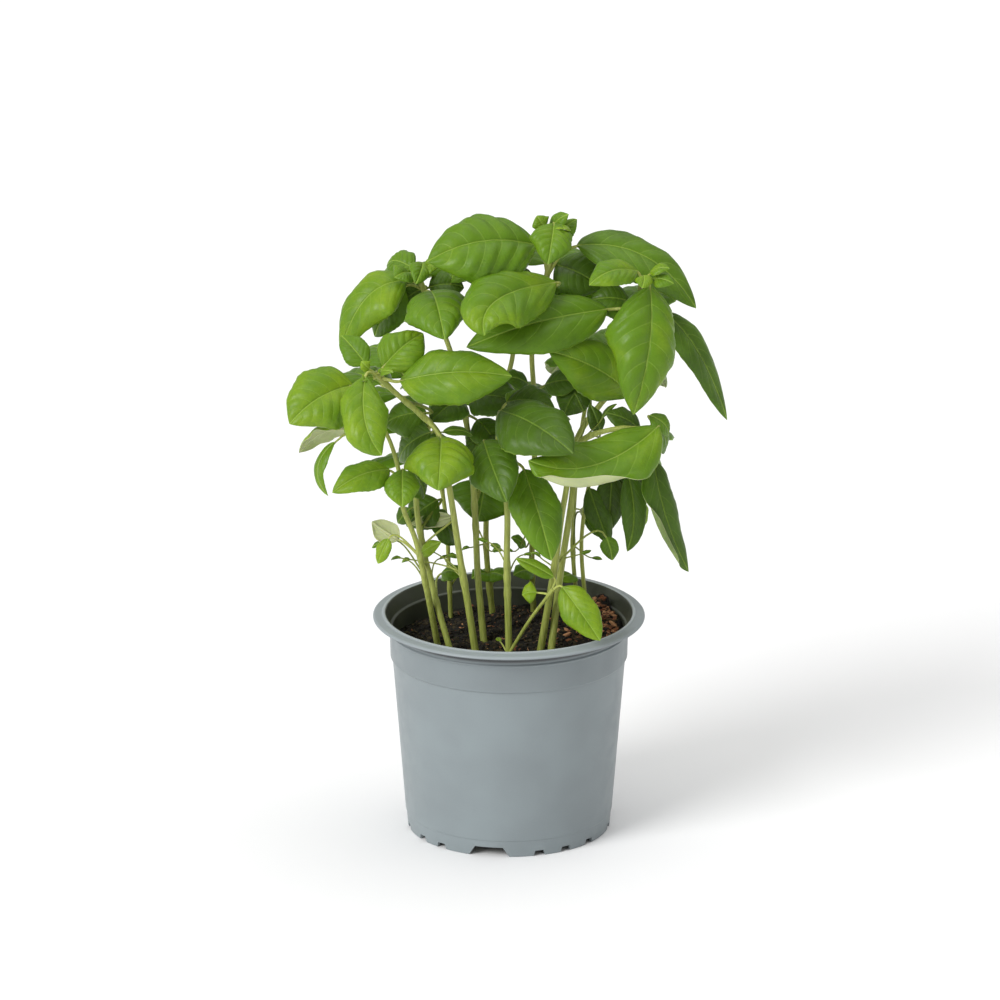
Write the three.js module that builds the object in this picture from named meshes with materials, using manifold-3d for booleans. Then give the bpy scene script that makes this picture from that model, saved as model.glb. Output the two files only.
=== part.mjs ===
// A potted sweet basil: a thin moulded nursery pot, filled with soil, and the leafy stems growing from it.
// Millimetres, +Z up. The origin lies on the floor, on the pot's axis; the front of the pot looks to -Y.
import * as THREE from "three";
import { mergeVertices } from "three/addons/utils/BufferGeometryUtils.js";
import Module from "manifold-3d";

const wasm = await Module();
wasm.setup();

// ---- Driving dimensions: the pot ----
const RIM_RADIUS = 65; // a 13 cm nursery pot
const RIM_EDGE_Z = 104.4;
const RIM_TOP_Z = 107.1;
const MOUTH_RADIUS = 59.2;
const COLLAR_RADIUS = 56.7;
const COLLAR_FOOT_Z = 85;
const BODY_TOP_RADIUS = 54.4; // where the straight taper starts, under the collar
const BODY_TOP_Z = 70;
const FOOT_RADIUS = 48.5;
const WALL = 1.1;
const SKIRT = 1.7; // the foot is a ring, thicker than the wall
const FLOOR_UNDERSIDE_Z = 5.2;
const FLOOR_TOP_Z = 6.5;
const FOOT_LINE_Z = 8; // a fine step around the body, just above the foot
const NECK_Z = 98.2; // a crease, above which the mouth flares out
const POT_SIDES = 40;

// Notches let water out of the foot ring: three wide ones, with small ones between them.
const WIDE_NOTCH = { top: 13.5, bottom: 21, height: 4.8 };
const SMALL_NOTCH = { top: 4.2, bottom: 6.4, height: 2.7 };
const FIRST_WIDE_NOTCH = -11.4; // degrees from the front, towards +X
const WIDE_NOTCHES = 3;
const SMALL_NOTCH_OFFSETS = [30, 50, 70, 90]; // degrees on from each wide notch
const DRAIN_HOLES = 6;
const DRAIN_HOLE_RADIUS = 4.5;
const DRAIN_CIRCLE_RADIUS = 31;
const CENTRE_HOLE_RADIUS = 6;
const NOTCH_CUT = { from: 38, to: 54 }; // the cutters' reach from the pot's axis
const DRAIN_CUT = 6; // the cutters' length

// ---- Driving dimensions: the soil ----
const SOIL_LEVEL = 92;
const SOIL_LUMP = 1.1; // height of the lumps
const BARK_HEAP = { x: 43, y: 15, height: 9, radius: 12 };
const SOIL_RINGS = 7;
const CLEAR = 0.3; // gap between neighbouring pieces
const ROOT_DEPTH = 9; // how far each stem's foot reaches into its hole

// ---- Driving dimensions: the plant ----
const STEM_SIDES = 6;
const STEM_STEP = 36; // length of one straight stretch of a stem
const BLADE = 0.7; // thickness of a leaf
const STALK_HALF_WIDTH = 0.9;
const STALK_DEPTH = 1.5;
const BROAD = 20; // leaves this wide or wider get five points across, smaller ones three
const BROAD_STATIONS = [0.1, 0.34, 0.64, 0.88]; // places along the blade that have a cross-section
const SMALL_STATIONS = [0.26, 0.7];

// Each shoot: the stem's radius at its foot and at its top, the points that the stem passes through,
// and its leaves. A leaf is [how far up the stem its stalk leaves, the blade's start, middle and tip
// along the midrib, its width, the direction that its upper face looks to, how far its sides bend].
const SHOOTS = {
  shoot_crown: {
    radius: [1.5, 1.1],
    stem: [
      [12, 46, 91], [11, 40, 117], [12, 30, 153], [12, 18, 207],
      [11, 12, 236], [17, 5, 268], [21, 3, 288],
    ],
    leaves: [
      [0.93, [13, 2, 288], [-13, -10, 295], [-39, -16, 285], 51, [-0.15, -0.6, 0.78], 0.75], // top left
      [0.922, [32, 5, 287], [64, 6, 282], [89, 4, 256], 33, [0.25, -0.45, 0.86], 0.55], // top right
      [0.87, [22, -9, 273], [-6, -34, 272], [-12, -47, 258], 37, [-0.15, -0.75, 0.62], 0.5], // in front
      [0.97, [21, -3, 300], [20, -13, 295], [18, -18, 284], 22, [0, -0.95, 0.3], 0.5], // crown, front
      [0.98, [19, 4, 294], [22, 1, 300], [28, 0, 304], 12, [-0.3, -0.6, 0.7], 0.5], // crown, back
      [0.972, [25, 6, 291], [27, 6, 296], [32, 8, 299], 12, [-0.5, -0.6, 0.6], 0.5], // crown, right
      [0.9, [18, 12, 276], [21, 37, 276], [24, 58, 262], 36, [0, 0.3, 0.95], 0.4], // back
      [0.85, [10, 16, 262], [-4, 29, 269], [-18, 42, 262], 32, [-0.1, 0.1, 0.99], 0.4], // back left
      [0.62, [17, 10, 217], [25, 4, 221], [35, 2, 221], 16, [0.1, -0.7, 0.7], 0.3], // inner right
      [0.628, [9, 8, 218], [4, 4, 222], [-3, 2, 223], 11, [-0.1, -0.7, 0.7], 0.3], // inner left
      [0.5, [14, 26, 190], [15, 47, 193], [16, 66, 182], 30, [0, 0.4, 0.9], 0.4], // low back right
      [0.25, [8, 34, 128], [5, 32, 132], [1, 30, 134], 7, [0, -0.6, 0.8], 0.3], // small, low down
    ],
  },
  shoot_top_left: {
    radius: [1.7, 1.1],
    stem: [
      [-12, 2, 91], [-15, 5, 126], [-16, 8, 150], [-19, 12, 189],
      [-28, 14, 233], [-40, 14, 262], [-45, 14, 275],
    ],
    leaves: [
      [0.95, [-48, 8, 269], [-67, 2, 263], [-80, 0, 236], 31, [-0.35, -0.55, 0.75], 0.5], // droops left
      [0.93, [-50, 16, 263], [-59, 17, 250], [-64, 24, 236], 20, [-0.3, -0.8, 0.5], 0.4], // hangs left
      [0.98, [-45, 17, 272], [-53, 21, 275], [-58, 28, 271], 18, [-0.2, -0.6, 0.75], 0.4], // upper left
      [0.99, [-41, 8, 278], [-41, 0, 277], [-44, -6, 271], 12, [0.2, -0.9, 0.4], 0.4], // small at tip
      [0.922, [-37, 4, 265], [-34, -18, 266], [-30, -34, 252], 37, [0, -0.65, 0.75], 0.6], // front
      [0.942, [-42, 22, 268], [-44, 45, 267], [-46, 64, 252], 34, [0, 0.35, 0.93], 0.4], // back
      [0.914, [-28, 24, 263], [-22, 31, 272], [-14, 40, 269], 26, [0.1, 0.1, 0.99], 0.4], // right back
      [0.6, [-22, 8, 209], [-29, -1, 210], [-37, -8, 204], 22, [-0.1, -0.5, 0.85], 0.3], // lower left
      [0.608, [-15, 12, 199], [-9, 6, 194], [-4, 4, 185], 18, [0.2, -0.7, 0.7], 0.3], // lower right
      [0.38, [-11, 14, 170], [-12, 6, 161], [-13, 6, 149], 31, [0, -0.8, 0.55], 0.3], // low down
      [0.68, [-26, 24, 216], [-29, 43, 217], [-30, 58, 204], 28, [-0.1, 0.4, 0.9], 0.4], // back low
    ],
  },
  shoot_left: {
    radius: [1.75, 1.2],
    stem: [
      [-16, -18, 93], [-19, -19, 114], [-23, -22, 140], [-28, -28, 177],
      [-33, -30, 205], [-43, -30, 216], [-53, -30, 225], [-63, -30, 235],
    ],
    leaves: [
      [0.98, [-72, -28, 228], [-89, -39, 226], [-105, -42, 213], 36, [-0.3, -0.62, 0.72], 0.45], // left
      [0.972, [-68, -44, 231], [-67, -60, 221], [-59, -68, 206], 23, [0, -0.88, 0.48], 0.4], // hangs
      [0.964, [-59, -30, 238], [-50, -27, 247], [-40, -18, 251], 20, [-0.2, -0.75, 0.62], 0.35], // at the tip
      [0.97, [-51, -36, 233], [-25, -44, 240], [2, -42, 237], 34, [0, -0.7, 0.7], 0.5], // large, right
      [0.956, [-67, -24, 237], [-73, -20, 244], [-79, -12, 248], 14, [-0.2, -0.65, 0.72], 0.3], // small, back
      [1, [-65, -34, 238], [-67, -35, 240], [-69, -34, 242], 6, [-0.3, -0.7, 0.6], 0.3], // bud a
      [0.992, [-60, -36, 237], [-58, -39, 239], [-54, -42, 239], 6, [0.3, -0.7, 0.6], 0.3], // bud b
      [0.984, [-64, -36, 235], [-66, -41, 236], [-68, -46, 236], 6, [0, -0.8, 0.6], 0.3], // bud c
      [0.8, [-34, -37, 204], [-33, -56, 203], [-32, -70, 190], 38, [0, -0.72, 0.68], 0.45], // in front
      [0.808, [-37, -24, 204], [-48, -21, 197], [-52, -14, 186], 22, [-0.3, -0.6, 0.7], 0.4], // middle left
      [0.87, [-45, -24, 211], [-54, -20, 212], [-60, -14, 208], 15, [-0.1, -0.6, 0.8], 0.3], // small, left
      [0.81, [-31, -26, 205], [-23, -24, 205], [-17, -20, 201], 6, [0.1, -0.6, 0.8], 0.3], // young a
      [0.95, [-60, -18, 226], [-74, 1, 226], [-86, 18, 214], 30, [-0.4, 0.4, 0.8], 0.4], // back left
    ],
  },
  shoot_low_left: {
    radius: [1.6, 0.9],
    stem: [
      [-34, -6, 92], [-39, -18, 124], [-44, -26, 151], [-50, -32, 170],
      [-52, -36, 190], [-58, -36, 208], [-67, -34, 218],
    ],
    leaves: [
      [0.98, [-75, -30, 210], [-88, -27, 207], [-99, -28, 198], 24, [-0.2, 0.5, 0.84], 0.3], // turned over
      [0.97, [-77, -36, 208], [-84, -41, 195], [-84, -42, 179], 15, [-0.85, -0.4, 0.3], 0.3], // edge on
      [0.72, [-56, -38, 190], [-69, -48, 191], [-83, -52, 183], 19, [-0.1, -0.65, 0.75], 0.4], // left
      [0.71, [-50, -41, 191], [-50, -51, 186], [-50, -56, 177], 18, [0, -0.8, 0.6], 0.4], // hangs
      [0.718, [-47, -30, 188], [-41, -27, 179], [-40, -20, 170], 14, [0.3, -0.7, 0.6], 0.3], // hangs right
      [0.42, [-53, -22, 154], [-58, -21, 158], [-64, -18, 158], 12, [-0.1, -0.5, 0.85], 0.3], // seedling pale
      [0.428, [-56, -26, 149], [-59, -28, 145], [-62, -28, 140], 9, [-0.3, -0.8, 0.5], 0.3], // seedling green
    ],
  },
  shoot_middle_left: {
    radius: [1.5, 1.3],
    stem: [
      [-28, -16, 93], [-36, -10, 121], [-41, -6, 142], [-44, -6, 165],
      [-42, -8, 185], [-38, -6, 202],
    ],
    leaves: [
      [0.5, [-40, 2, 158], [-28, 7, 150], [-22, 16, 138], 22, [0.1, -0.6, 0.8], 0.3], // lower right
      [0.508, [-47, -2, 159], [-51, -2, 155], [-53, 0, 151], 9, [-0.2, -0.8, 0.6], 0.3], // small, lower left
      [0.38, [-40, -10, 140], [-37, -14, 144], [-32, -16, 148], 7, [0, -0.7, 0.7], 0.3], // bract right
      [0.9, [-48, 4, 196], [-67, 16, 198], [-84, 24, 186], 32, [-0.2, 0.3, 0.93], 0.4], // upper left back
      [0.908, [-38, 2, 190], [-40, 17, 191], [-43, 28, 180], 24, [0, 0.4, 0.9], 0.4], // upper back
    ],
  },
  shoot_right: {
    radius: [1.8, 1.1],
    stem: [
      [20, -16, 92], [24, -10, 126], [30, -5, 167], [32, -2, 193],
      [43, 0, 210], [55, -2, 225], [60, -8, 254], [62, -13, 275],
    ],
    leaves: [
      [0.99, [66, -15, 273], [66, -33, 249], [58, -38, 216], 35, [0.4, -0.85, 0.25], 0.6], // in front
      [1, [60, -14, 280], [48, -23, 283], [37, -28, 277], 18, [-0.15, -0.65, 0.75], 0.4], // small, left
      [0.992, [66, -16, 280], [70, -19, 283], [75, -20, 283], 8, [0.2, -0.5, 0.8], 0.3], // bud a
      [0.984, [67, -17, 277], [72, -21, 278], [77, -22, 276], 9, [0.2, -0.7, 0.6], 0.3], // bud b
      [0.95, [74, 6, 253], [90, 6, 234], [104, 12, 198], 20, [0.6, -0.6, 0.5], 0.4], // droops right
      [0.92, [46, -6, 259], [13, -20, 257], [-21, -26, 246], 32, [-0.1, -0.72, 0.68], 0.5], // large, left
      [0.78, [58, -6, 216], [41, -16, 233], [18, -24, 244], 29, [-0.25, -0.8, 0.5], 0.4], // lower left
      [0.96, [62, 6, 258], [68, 30, 259], [72, 50, 246], 32, [0.1, 0.35, 0.93], 0.4], // back
      [0.94, [49, 14, 258], [39, 27, 263], [29, 40, 257], 28, [-0.1, 0, 0.99], 0.4], // back left
      [0.76, [58, 12, 218], [63, 30, 228], [66, 50, 226], 30, [0.2, 0.3, 0.9], 0.4], // back lower
    ],
  },
  shoot_right_front: {
    radius: [1.8, 1.1],
    stem: [
      [15, -14, 92], [22, -20, 139], [26, -24, 170], [33, -26, 199],
      [47, -27, 206], [69, -28, 207],
    ],
    leaves: [
      [0.99, [68, -32, 201], [39, -48, 205], [8, -56, 198], 41, [-0.05, -0.68, 0.73], 0.5], // large, left
      [0.98, [68, -30, 192], [74, -36, 166], [85, -30, 136], 18, [0.45, -0.75, 0.45], 0.4], // droops right
      [0.982, [69, -22, 207], [74, -19, 199], [73, -14, 190], 15, [0.85, -0.4, 0.3], 0.4], // curled a
      [1, [66, -26, 213], [73, -27, 209], [75, -24, 202], 12, [0.5, -0.6, 0.6], 0.4], // curled b
      [0.97, [66, -14, 203], [66, 9, 202], [64, 28, 190], 26, [0.1, 0.3, 0.9], 0.4], // right back
      [0.35, [44, -16, 144], [48, -16, 143], [52, -14, 141], 10, [0, -0.7, 0.7], 0.3], // seed leaf
    ],
  },
  shoot_front: {
    radius: [1.7, 1.3],
    stem: [[0, -18, 93], [-1, -20, 139], [-1, -22, 167], [-5, -24, 200], [-4, -22, 212]],
    leaves: [
      [0.98, [-2, -28, 212], [12, -48, 214], [30, -64, 206], 32, [0.1, -0.72, 0.68], 0.5], // right
      [0.85, [0, -28, 192], [-4, -47, 192], [-5, -64, 182], 29, [-0.3, -0.55, 0.78], 0.4], // lower left
      [0.83, [7, -28, 187], [14, -41, 169], [20, -46, 147], 25, [0.1, -0.88, 0.45], 0.4], // hangs right
      [1, [-1, -18, 217], [5, -14, 219], [10, -8, 217], 12, [0, -0.5, 0.85], 0.3], // up right young
    ],
  },
  shoot_back_left: {
    radius: [1.1, 1],
    stem: [[-28, 34, 92], [-29, 28, 123], [-30, 26, 144], [-36, 34, 178], [-45, 40, 204]],
    leaves: [
      [0.98, [-52, 38, 203], [-71, 44, 202], [-86, 48, 188], 35, [-0.3, 0.2, 0.93], 0.4], // left
      [0.972, [-43, 47, 204], [-39, 62, 202], [-36, 72, 190], 28, [0.1, 0.5, 0.86], 0.4], // right back
      [0.99, [-50, 44, 210], [-58, 53, 220], [-68, 66, 219], 28, [-0.2, 0.1, 0.97], 0.4], // top
      [0.62, [-42, 36, 172], [-61, 46, 169], [-76, 52, 156], 33, [-0.3, 0.3, 0.9], 0.4], // lower left
      [0.628, [-30, 38, 172], [-21, 54, 172], [-12, 66, 160], 28, [0.1, 0.5, 0.86], 0.4], // lower right
      [0.2, [-24, 33, 117], [-29, 39, 113], [-33, 44, 108], 9, [0, -0.5, 0.85], 0.3], // seed leaf
    ],
  },
  shoot_back_middle: {
    radius: [1.5, 1.1],
    stem: [
      [-8, 42, 92], [-11, 32, 132], [-9, 26, 169], [-2, 22, 211],
      [2, 20, 231], [0, 24, 255],
    ],
    leaves: [
      [0.98, [-8, 26, 250], [-24, 36, 250], [-36, 44, 238], 30, [-0.2, 0.2, 0.95], 0.4], // top left
      [0.972, [8, 34, 252], [11, 55, 252], [12, 72, 238], 34, [0.1, 0.4, 0.9], 0.4], // top right
      [0.66, [-10, 34, 200], [-12, 54, 201], [-12, 70, 190], 30, [-0.1, 0.4, 0.9], 0.4], // lower left
      [0.62, [0, 34, 202], [11, 45, 206], [22, 56, 199], 28, [0.1, 0.1, 0.98], 0.4], // lower right
      [0.12, [-8, 42, 111], [-11, 45, 112], [-14, 48, 111], 7, [0, -0.5, 0.85], 0.3], // seed leaf
    ],
  },
  shoot_back_right: {
    radius: [1.1, 1],
    stem: [[34, 30, 91], [31, 34, 121], [31, 36, 141], [34, 38, 180], [40, 42, 216]],
    leaves: [
      [0.98, [48, 44, 216], [64, 55, 214], [76, 60, 200], 32, [0.2, 0.35, 0.92], 0.4], // right
      [0.972, [38, 46, 216], [29, 61, 215], [20, 70, 204], 30, [-0.1, 0.5, 0.86], 0.4], // left
      [0.99, [44, 46, 221], [51, 58, 228], [58, 71, 224], 30, [0.1, 0.1, 0.98], 0.4], // top
      [0.66, [42, 44, 176], [60, 51, 175], [74, 54, 162], 34, [0.2, 0.3, 0.93], 0.4], // lower right
      [0.668, [34, 44, 176], [24, 59, 175], [14, 70, 164], 28, [-0.1, 0.5, 0.86], 0.4], // lower left
      [0.32, [35, 34, 145], [41, 31, 140], [47, 30, 133], 10, [0.2, -0.75, 0.6], 0.3], // small, low down
    ],
  },
  shoot_low_right: {
    radius: [1.1, 0.9],
    stem: [[38, 26, 92], [35, 26, 124], [35, 22, 140], [39, 14, 168], [46, 6, 180]],
    leaves: [
      [0.97, [59, -6, 178], [56, -14, 160], [55, -14, 141], 17, [-0.2, -0.9, 0.35], 0.3], // hangs right
      [0.95, [43, 2, 169], [46, -2, 159], [49, 0, 149], 18, [-0.1, -0.85, 0.5], 0.3], // hangs left
      [0.962, [63, 2, 169], [64, 0, 157], [62, 2, 145], 9, [0.6, -0.7, 0.2], 0.3], // narrow
      [0.98, [56, 8, 177], [63, 8, 169], [67, 12, 159], 16, [0.3, -0.7, 0.6], 0.3], // behind
      [0.942, [52, 18, 172], [60, 34, 172], [66, 46, 160], 28, [0.2, 0.3, 0.93], 0.4], // back
    ],
  },
  sprig_front: {
    radius: [0.9, 0.8],
    stem: [[0, -22, 93], [10, -30, 113], [21, -38, 131]],
    leaves: [
      [0.98, [25, -41, 133], [34, -50, 123], [43, -53, 110], 18, [-0.25, -0.75, 0.62], 0.35], // over the rim
      [0.972, [21, -38, 135], [12, -38, 141], [3, -34, 145], 11, [0, -0.7, 0.7], 0.3], // left leaf
      [0.93, [13, -34, 128], [9, -34, 128], [6, -32, 126], 9, [0, -0.8, 0.6], 0.3], // round small
    ],
  },
};

// ---- Geometry helpers ----
const UP = new THREE.Vector3(0, 0, 1);
const vector = (point) => new THREE.Vector3(...point);
const rad = THREE.MathUtils.degToRad;

// A three.js geometry as a solid: doubled vertices are merged, and triangles that this closes up go.
function solid(geometry) {
  const bare = geometry.clone();
  bare.deleteAttribute("normal");
  bare.deleteAttribute("uv");
  const merged = mergeVertices(bare, 1e-4);
  const triangles = [];
  for (let i = 0; i < merged.index.count; i += 3) {
    const [a, b, c] = merged.index.array.subarray(i, i + 3);
    if (a !== b && b !== c && c !== a) triangles.push(a, b, c);
  }
  return new wasm.Manifold(new wasm.Mesh({
    numProp: 3,
    vertProperties: merged.attributes.position.array,
    triVerts: new Uint32Array(triangles),
  }));
}

function meshOf(name, body, material) {
  const { vertProperties, triVerts } = body.getMesh();
  const geometry = new THREE.BufferGeometry();
  geometry.setAttribute("position", new THREE.BufferAttribute(vertProperties, 3));
  geometry.setIndex(new THREE.BufferAttribute(triVerts, 1));
  geometry.computeVertexNormals();
  const mesh = new THREE.Mesh(geometry, material);
  mesh.name = name;
  return mesh;
}

// A closed body through rings of equal length. Seen along the way they are passed, each ring runs
// clockwise, its first half over the top and its second half back underneath. The two halves are split
// into the same triangles, so a thin curved blade keeps its thickness.
function loft(rings) {
  const count = rings[0].length;
  const index = [];
  for (let i = 0; i + 1 < rings.length; i++) {
    for (let j = 0; j < count; j++) {
      const [a, b] = [i * count + j, i * count + ((j + 1) % count)];
      const [c, d] = [b + count, a + count];
      if (j < count / 2) index.push(a, b, c, a, c, d);
      else index.push(a, b, d, b, c, d);
    }
  }
  const last = (rings.length - 1) * count;
  for (let j = 1; j + 1 < count; j++) index.push(0, j + 1, j, last, last + j, last + j + 1);
  const geometry = new THREE.BufferGeometry().setFromPoints(rings.flat());
  geometry.setIndex(index);
  return geometry;
}

// A round rod along a curve, its radius running evenly from one end to the other.
function rod(curve, startRadius, endRadius, steps) {
  const frames = curve.computeFrenetFrames(steps, false);
  const rings = [];
  for (let i = 0; i <= steps; i++) {
    const centre = curve.getPointAt(i / steps);
    const radius = THREE.MathUtils.lerp(startRadius, endRadius, i / steps);
    const ring = [];
    for (let j = 0; j < STEM_SIDES; j++) {
      const angle = Math.PI - (2 * Math.PI * j) / STEM_SIDES;
      ring.push(centre.clone()
        .addScaledVector(frames.binormals[i], radius * Math.cos(angle))
        .addScaledVector(frames.normals[i], radius * Math.sin(angle)));
    }
    rings.push(ring);
  }
  return loft(rings);
}

// ---- The pot ----
// Its wall in section, (radius, height), from the foot up the outside, over the rim and down the inside.
function potSection() {
  const taper = (z) => THREE.MathUtils.lerp(FOOT_RADIUS, BODY_TOP_RADIUS, z / BODY_TOP_Z);
  const outside = [
    [FOOT_RADIUS - SKIRT, 0],
    [FOOT_RADIUS - 0.5, 0],
    [FOOT_RADIUS, 0.6],
    [taper(FOOT_LINE_Z), FOOT_LINE_Z],
    [taper(FOOT_LINE_Z) + 0.35, FOOT_LINE_Z + 0.4],
    [BODY_TOP_RADIUS, BODY_TOP_Z],
    [BODY_TOP_RADIUS + 1.1, COLLAR_FOOT_Z - 1.5],
    [COLLAR_RADIUS, COLLAR_FOOT_Z],
    [COLLAR_RADIUS + 0.2, NECK_Z],
    [COLLAR_RADIUS + 0.9, NECK_Z + 0.6],
    [COLLAR_RADIUS + 1.6, NECK_Z + 3.2],
    [RIM_RADIUS - 4.8, RIM_EDGE_Z - 1.3],
  ];
  const rim = [
    [RIM_RADIUS - 0.6, RIM_EDGE_Z - 0.9],
    [RIM_RADIUS, RIM_EDGE_Z],
    [RIM_RADIUS - 1, RIM_EDGE_Z + 1],
    [RIM_RADIUS - 3.2, RIM_TOP_Z - 0.6],
    [MOUTH_RADIUS + 0.6, RIM_TOP_Z],
    [MOUTH_RADIUS - 0.4, RIM_TOP_Z - 0.5],
  ];
  const inside = [
    [COLLAR_RADIUS + 0.3, NECK_Z + 2.2],
    [COLLAR_RADIUS - WALL, NECK_Z + 0.7],
    [COLLAR_RADIUS - WALL - 0.2, COLLAR_FOOT_Z + 1.2],
    [BODY_TOP_RADIUS - WALL, BODY_TOP_Z],
    [taper(FLOOR_TOP_Z) - WALL, FLOOR_TOP_Z],
  ];
  return { outside, rim, inside };
}

const about = (points) => points.map(([r, z]) => new THREE.Vector2(r, z));

// A section turned about the pot's axis. LatheGeometry turns about Y, so the result is stood up.
function turned(points, sides) {
  return new THREE.LatheGeometry(about(points), sides).rotateX(Math.PI / 2);
}

// A wedge-sided cutter through the foot ring, wider at the floor, at an angle from the front.
function notchCutter({ top, bottom, height }, degrees) {
  const shape = new THREE.Shape(about([
    [-bottom / 2 - 0.5, -1],
    [bottom / 2 + 0.5, -1],
    [top / 2, height],
    [-top / 2, height],
  ]));
  const angle = rad(degrees);
  const along = new THREE.Vector3(Math.cos(angle), Math.sin(angle), 0);
  const out = new THREE.Vector3(Math.sin(angle), -Math.cos(angle), 0);
  const depth = NOTCH_CUT.to - NOTCH_CUT.from;
  const cutter = new THREE.ExtrudeGeometry(shape, { depth, bevelEnabled: false });
  const start = out.clone().multiplyScalar(NOTCH_CUT.from);
  const place = new THREE.Matrix4().makeBasis(along, UP, out).setPosition(start);
  return solid(cutter.applyMatrix4(place));
}

function drainCutter(radius, x, y) {
  const geometry = new THREE.CylinderGeometry(radius, radius, DRAIN_CUT, 16).rotateX(Math.PI / 2);
  return solid(geometry.translate(x, y, (FLOOR_UNDERSIDE_Z + FLOOR_TOP_Z) / 2));
}

function pot() {
  const { outside, rim, inside } = potSection();
  const floor = [
    [0, FLOOR_TOP_Z],
    [0, FLOOR_UNDERSIDE_Z],
    [FOOT_RADIUS - SKIRT, FLOOR_UNDERSIDE_Z],
  ];
  const section = [...outside, ...rim, ...inside, ...floor, outside[0]];
  const cutters = [drainCutter(CENTRE_HOLE_RADIUS, 0, 0)];
  for (let i = 0; i < DRAIN_HOLES; i++) {
    const angle = rad((360 / DRAIN_HOLES) * (i + 0.5));
    const [x, y] = [DRAIN_CIRCLE_RADIUS * Math.cos(angle), DRAIN_CIRCLE_RADIUS * Math.sin(angle)];
    cutters.push(drainCutter(DRAIN_HOLE_RADIUS, x, y));
  }
  for (let i = 0; i < WIDE_NOTCHES; i++) {
    const start = FIRST_WIDE_NOTCH + (360 / WIDE_NOTCHES) * i;
    cutters.push(notchCutter(WIDE_NOTCH, start));
    for (const offset of SMALL_NOTCH_OFFSETS) cutters.push(notchCutter(SMALL_NOTCH, start + offset));
  }
  return cutters.reduce((body, cutter) => body.subtract(cutter), solid(turned(section, POT_SIDES)));
}

// ---- The soil ----
// Height of the soil's surface: low lumps, a heap of bark at one side, and level at the wall.
function soilHeight(x, y) {
  const lumps = Math.sin(0.31 * x + 1.1) * Math.cos(0.27 * y - 0.4) + 0.6 * Math.sin(0.62 * x - 0.53 * y);
  const fromHeap = Math.hypot(x - BARK_HEAP.x, y - BARK_HEAP.y) / BARK_HEAP.radius;
  return SOIL_LEVEL + SOIL_LUMP * lumps + BARK_HEAP.height * Math.exp(-fromHeap * fromHeap);
}

// The soil fills the pot: its side follows the wall's inside, and its top is a grid of rings.
function soilBody() {
  const { inside } = potSection();
  const side = inside.slice(2).reverse().map(([r, z]) => [r - CLEAR, z]);
  side[0][1] += CLEAR;
  const topRadius = side.at(-1)[0];
  const points = [new THREE.Vector3(0, 0, side[0][1])];
  const ringOf = (radius, heightAt) => {
    for (let j = 0; j < POT_SIDES; j++) {
      const angle = (2 * Math.PI * j) / POT_SIDES;
      const [x, y] = [radius * Math.cos(angle), radius * Math.sin(angle)];
      points.push(new THREE.Vector3(x, y, heightAt(x, y)));
    }
  };
  for (const [radius, z] of side.slice(0, -1)) ringOf(radius, () => z);
  for (let i = SOIL_RINGS; i > 0; i--) ringOf((topRadius * i) / SOIL_RINGS, soilHeight);
  points.push(new THREE.Vector3(0, 0, soilHeight(0, 0)));

  const index = [];
  const rings = (points.length - 2) / POT_SIDES;
  const at = (ring, j) => 1 + ring * POT_SIDES + (j % POT_SIDES);
  for (let j = 0; j < POT_SIDES; j++) {
    index.push(0, at(0, j + 1), at(0, j));
    for (let i = 0; i + 1 < rings; i++) {
      index.push(at(i, j), at(i, j + 1), at(i + 1, j + 1), at(i, j), at(i + 1, j + 1), at(i + 1, j));
    }
    index.push(at(rings - 1, j), at(rings - 1, j + 1), points.length - 1);
  }
  const geometry = new THREE.BufferGeometry().setFromPoints(points);
  geometry.setIndex(index);
  return solid(geometry);
}

// ---- The plant ----
// A stem's curve starts below the soil, in line with its first stretch above it.
function stemCurve({ stem }) {
  const [foot, next] = stem.map(vector);
  const down = foot.clone().sub(next).normalize();
  const root = foot.clone().addScaledVector(down, ROOT_DEPTH);
  return new THREE.CatmullRomCurve3([root, ...stem.map(vector)], false, "centripetal");
}

// Half the width of a basil leaf along its length, as a share of its widest place.
const outline = (along) => Math.sin(Math.PI * along ** 0.8) ** 0.68;

// One cross-section of a leaf: across its upper face, then back along its lower one. A stalk has the
// same number of points as its blade, but they lie on its four corners.
function leafRing(centre, forward, face, halfWidth, thickness, bend, across, isStalk = false) {
  const side = forward.clone().cross(face).normalize();
  const normal = side.clone().cross(forward).normalize();
  const over = [];
  const under = [];
  for (let k = 0; k < across; k++) {
    const share = isStalk ? Math.sign(k + 0.5 - across / 2) : (2 * k) / (across - 1) - 1;
    const angle = bend * share;
    const reach = Math.sin(angle) / bend;
    const drop = (1 - Math.cos(angle)) / bend;
    const outward = normal.clone().multiplyScalar(Math.cos(angle)).addScaledVector(side, Math.sin(angle));
    const middle = centre.clone()
      .addScaledVector(side, halfWidth * reach)
      .addScaledVector(normal, -halfWidth * drop);
    over.push(middle.clone().addScaledVector(outward, thickness / 2));
    under.unshift(middle.clone().addScaledVector(outward, -thickness / 2));
  }
  return [...over, ...under];
}

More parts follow.
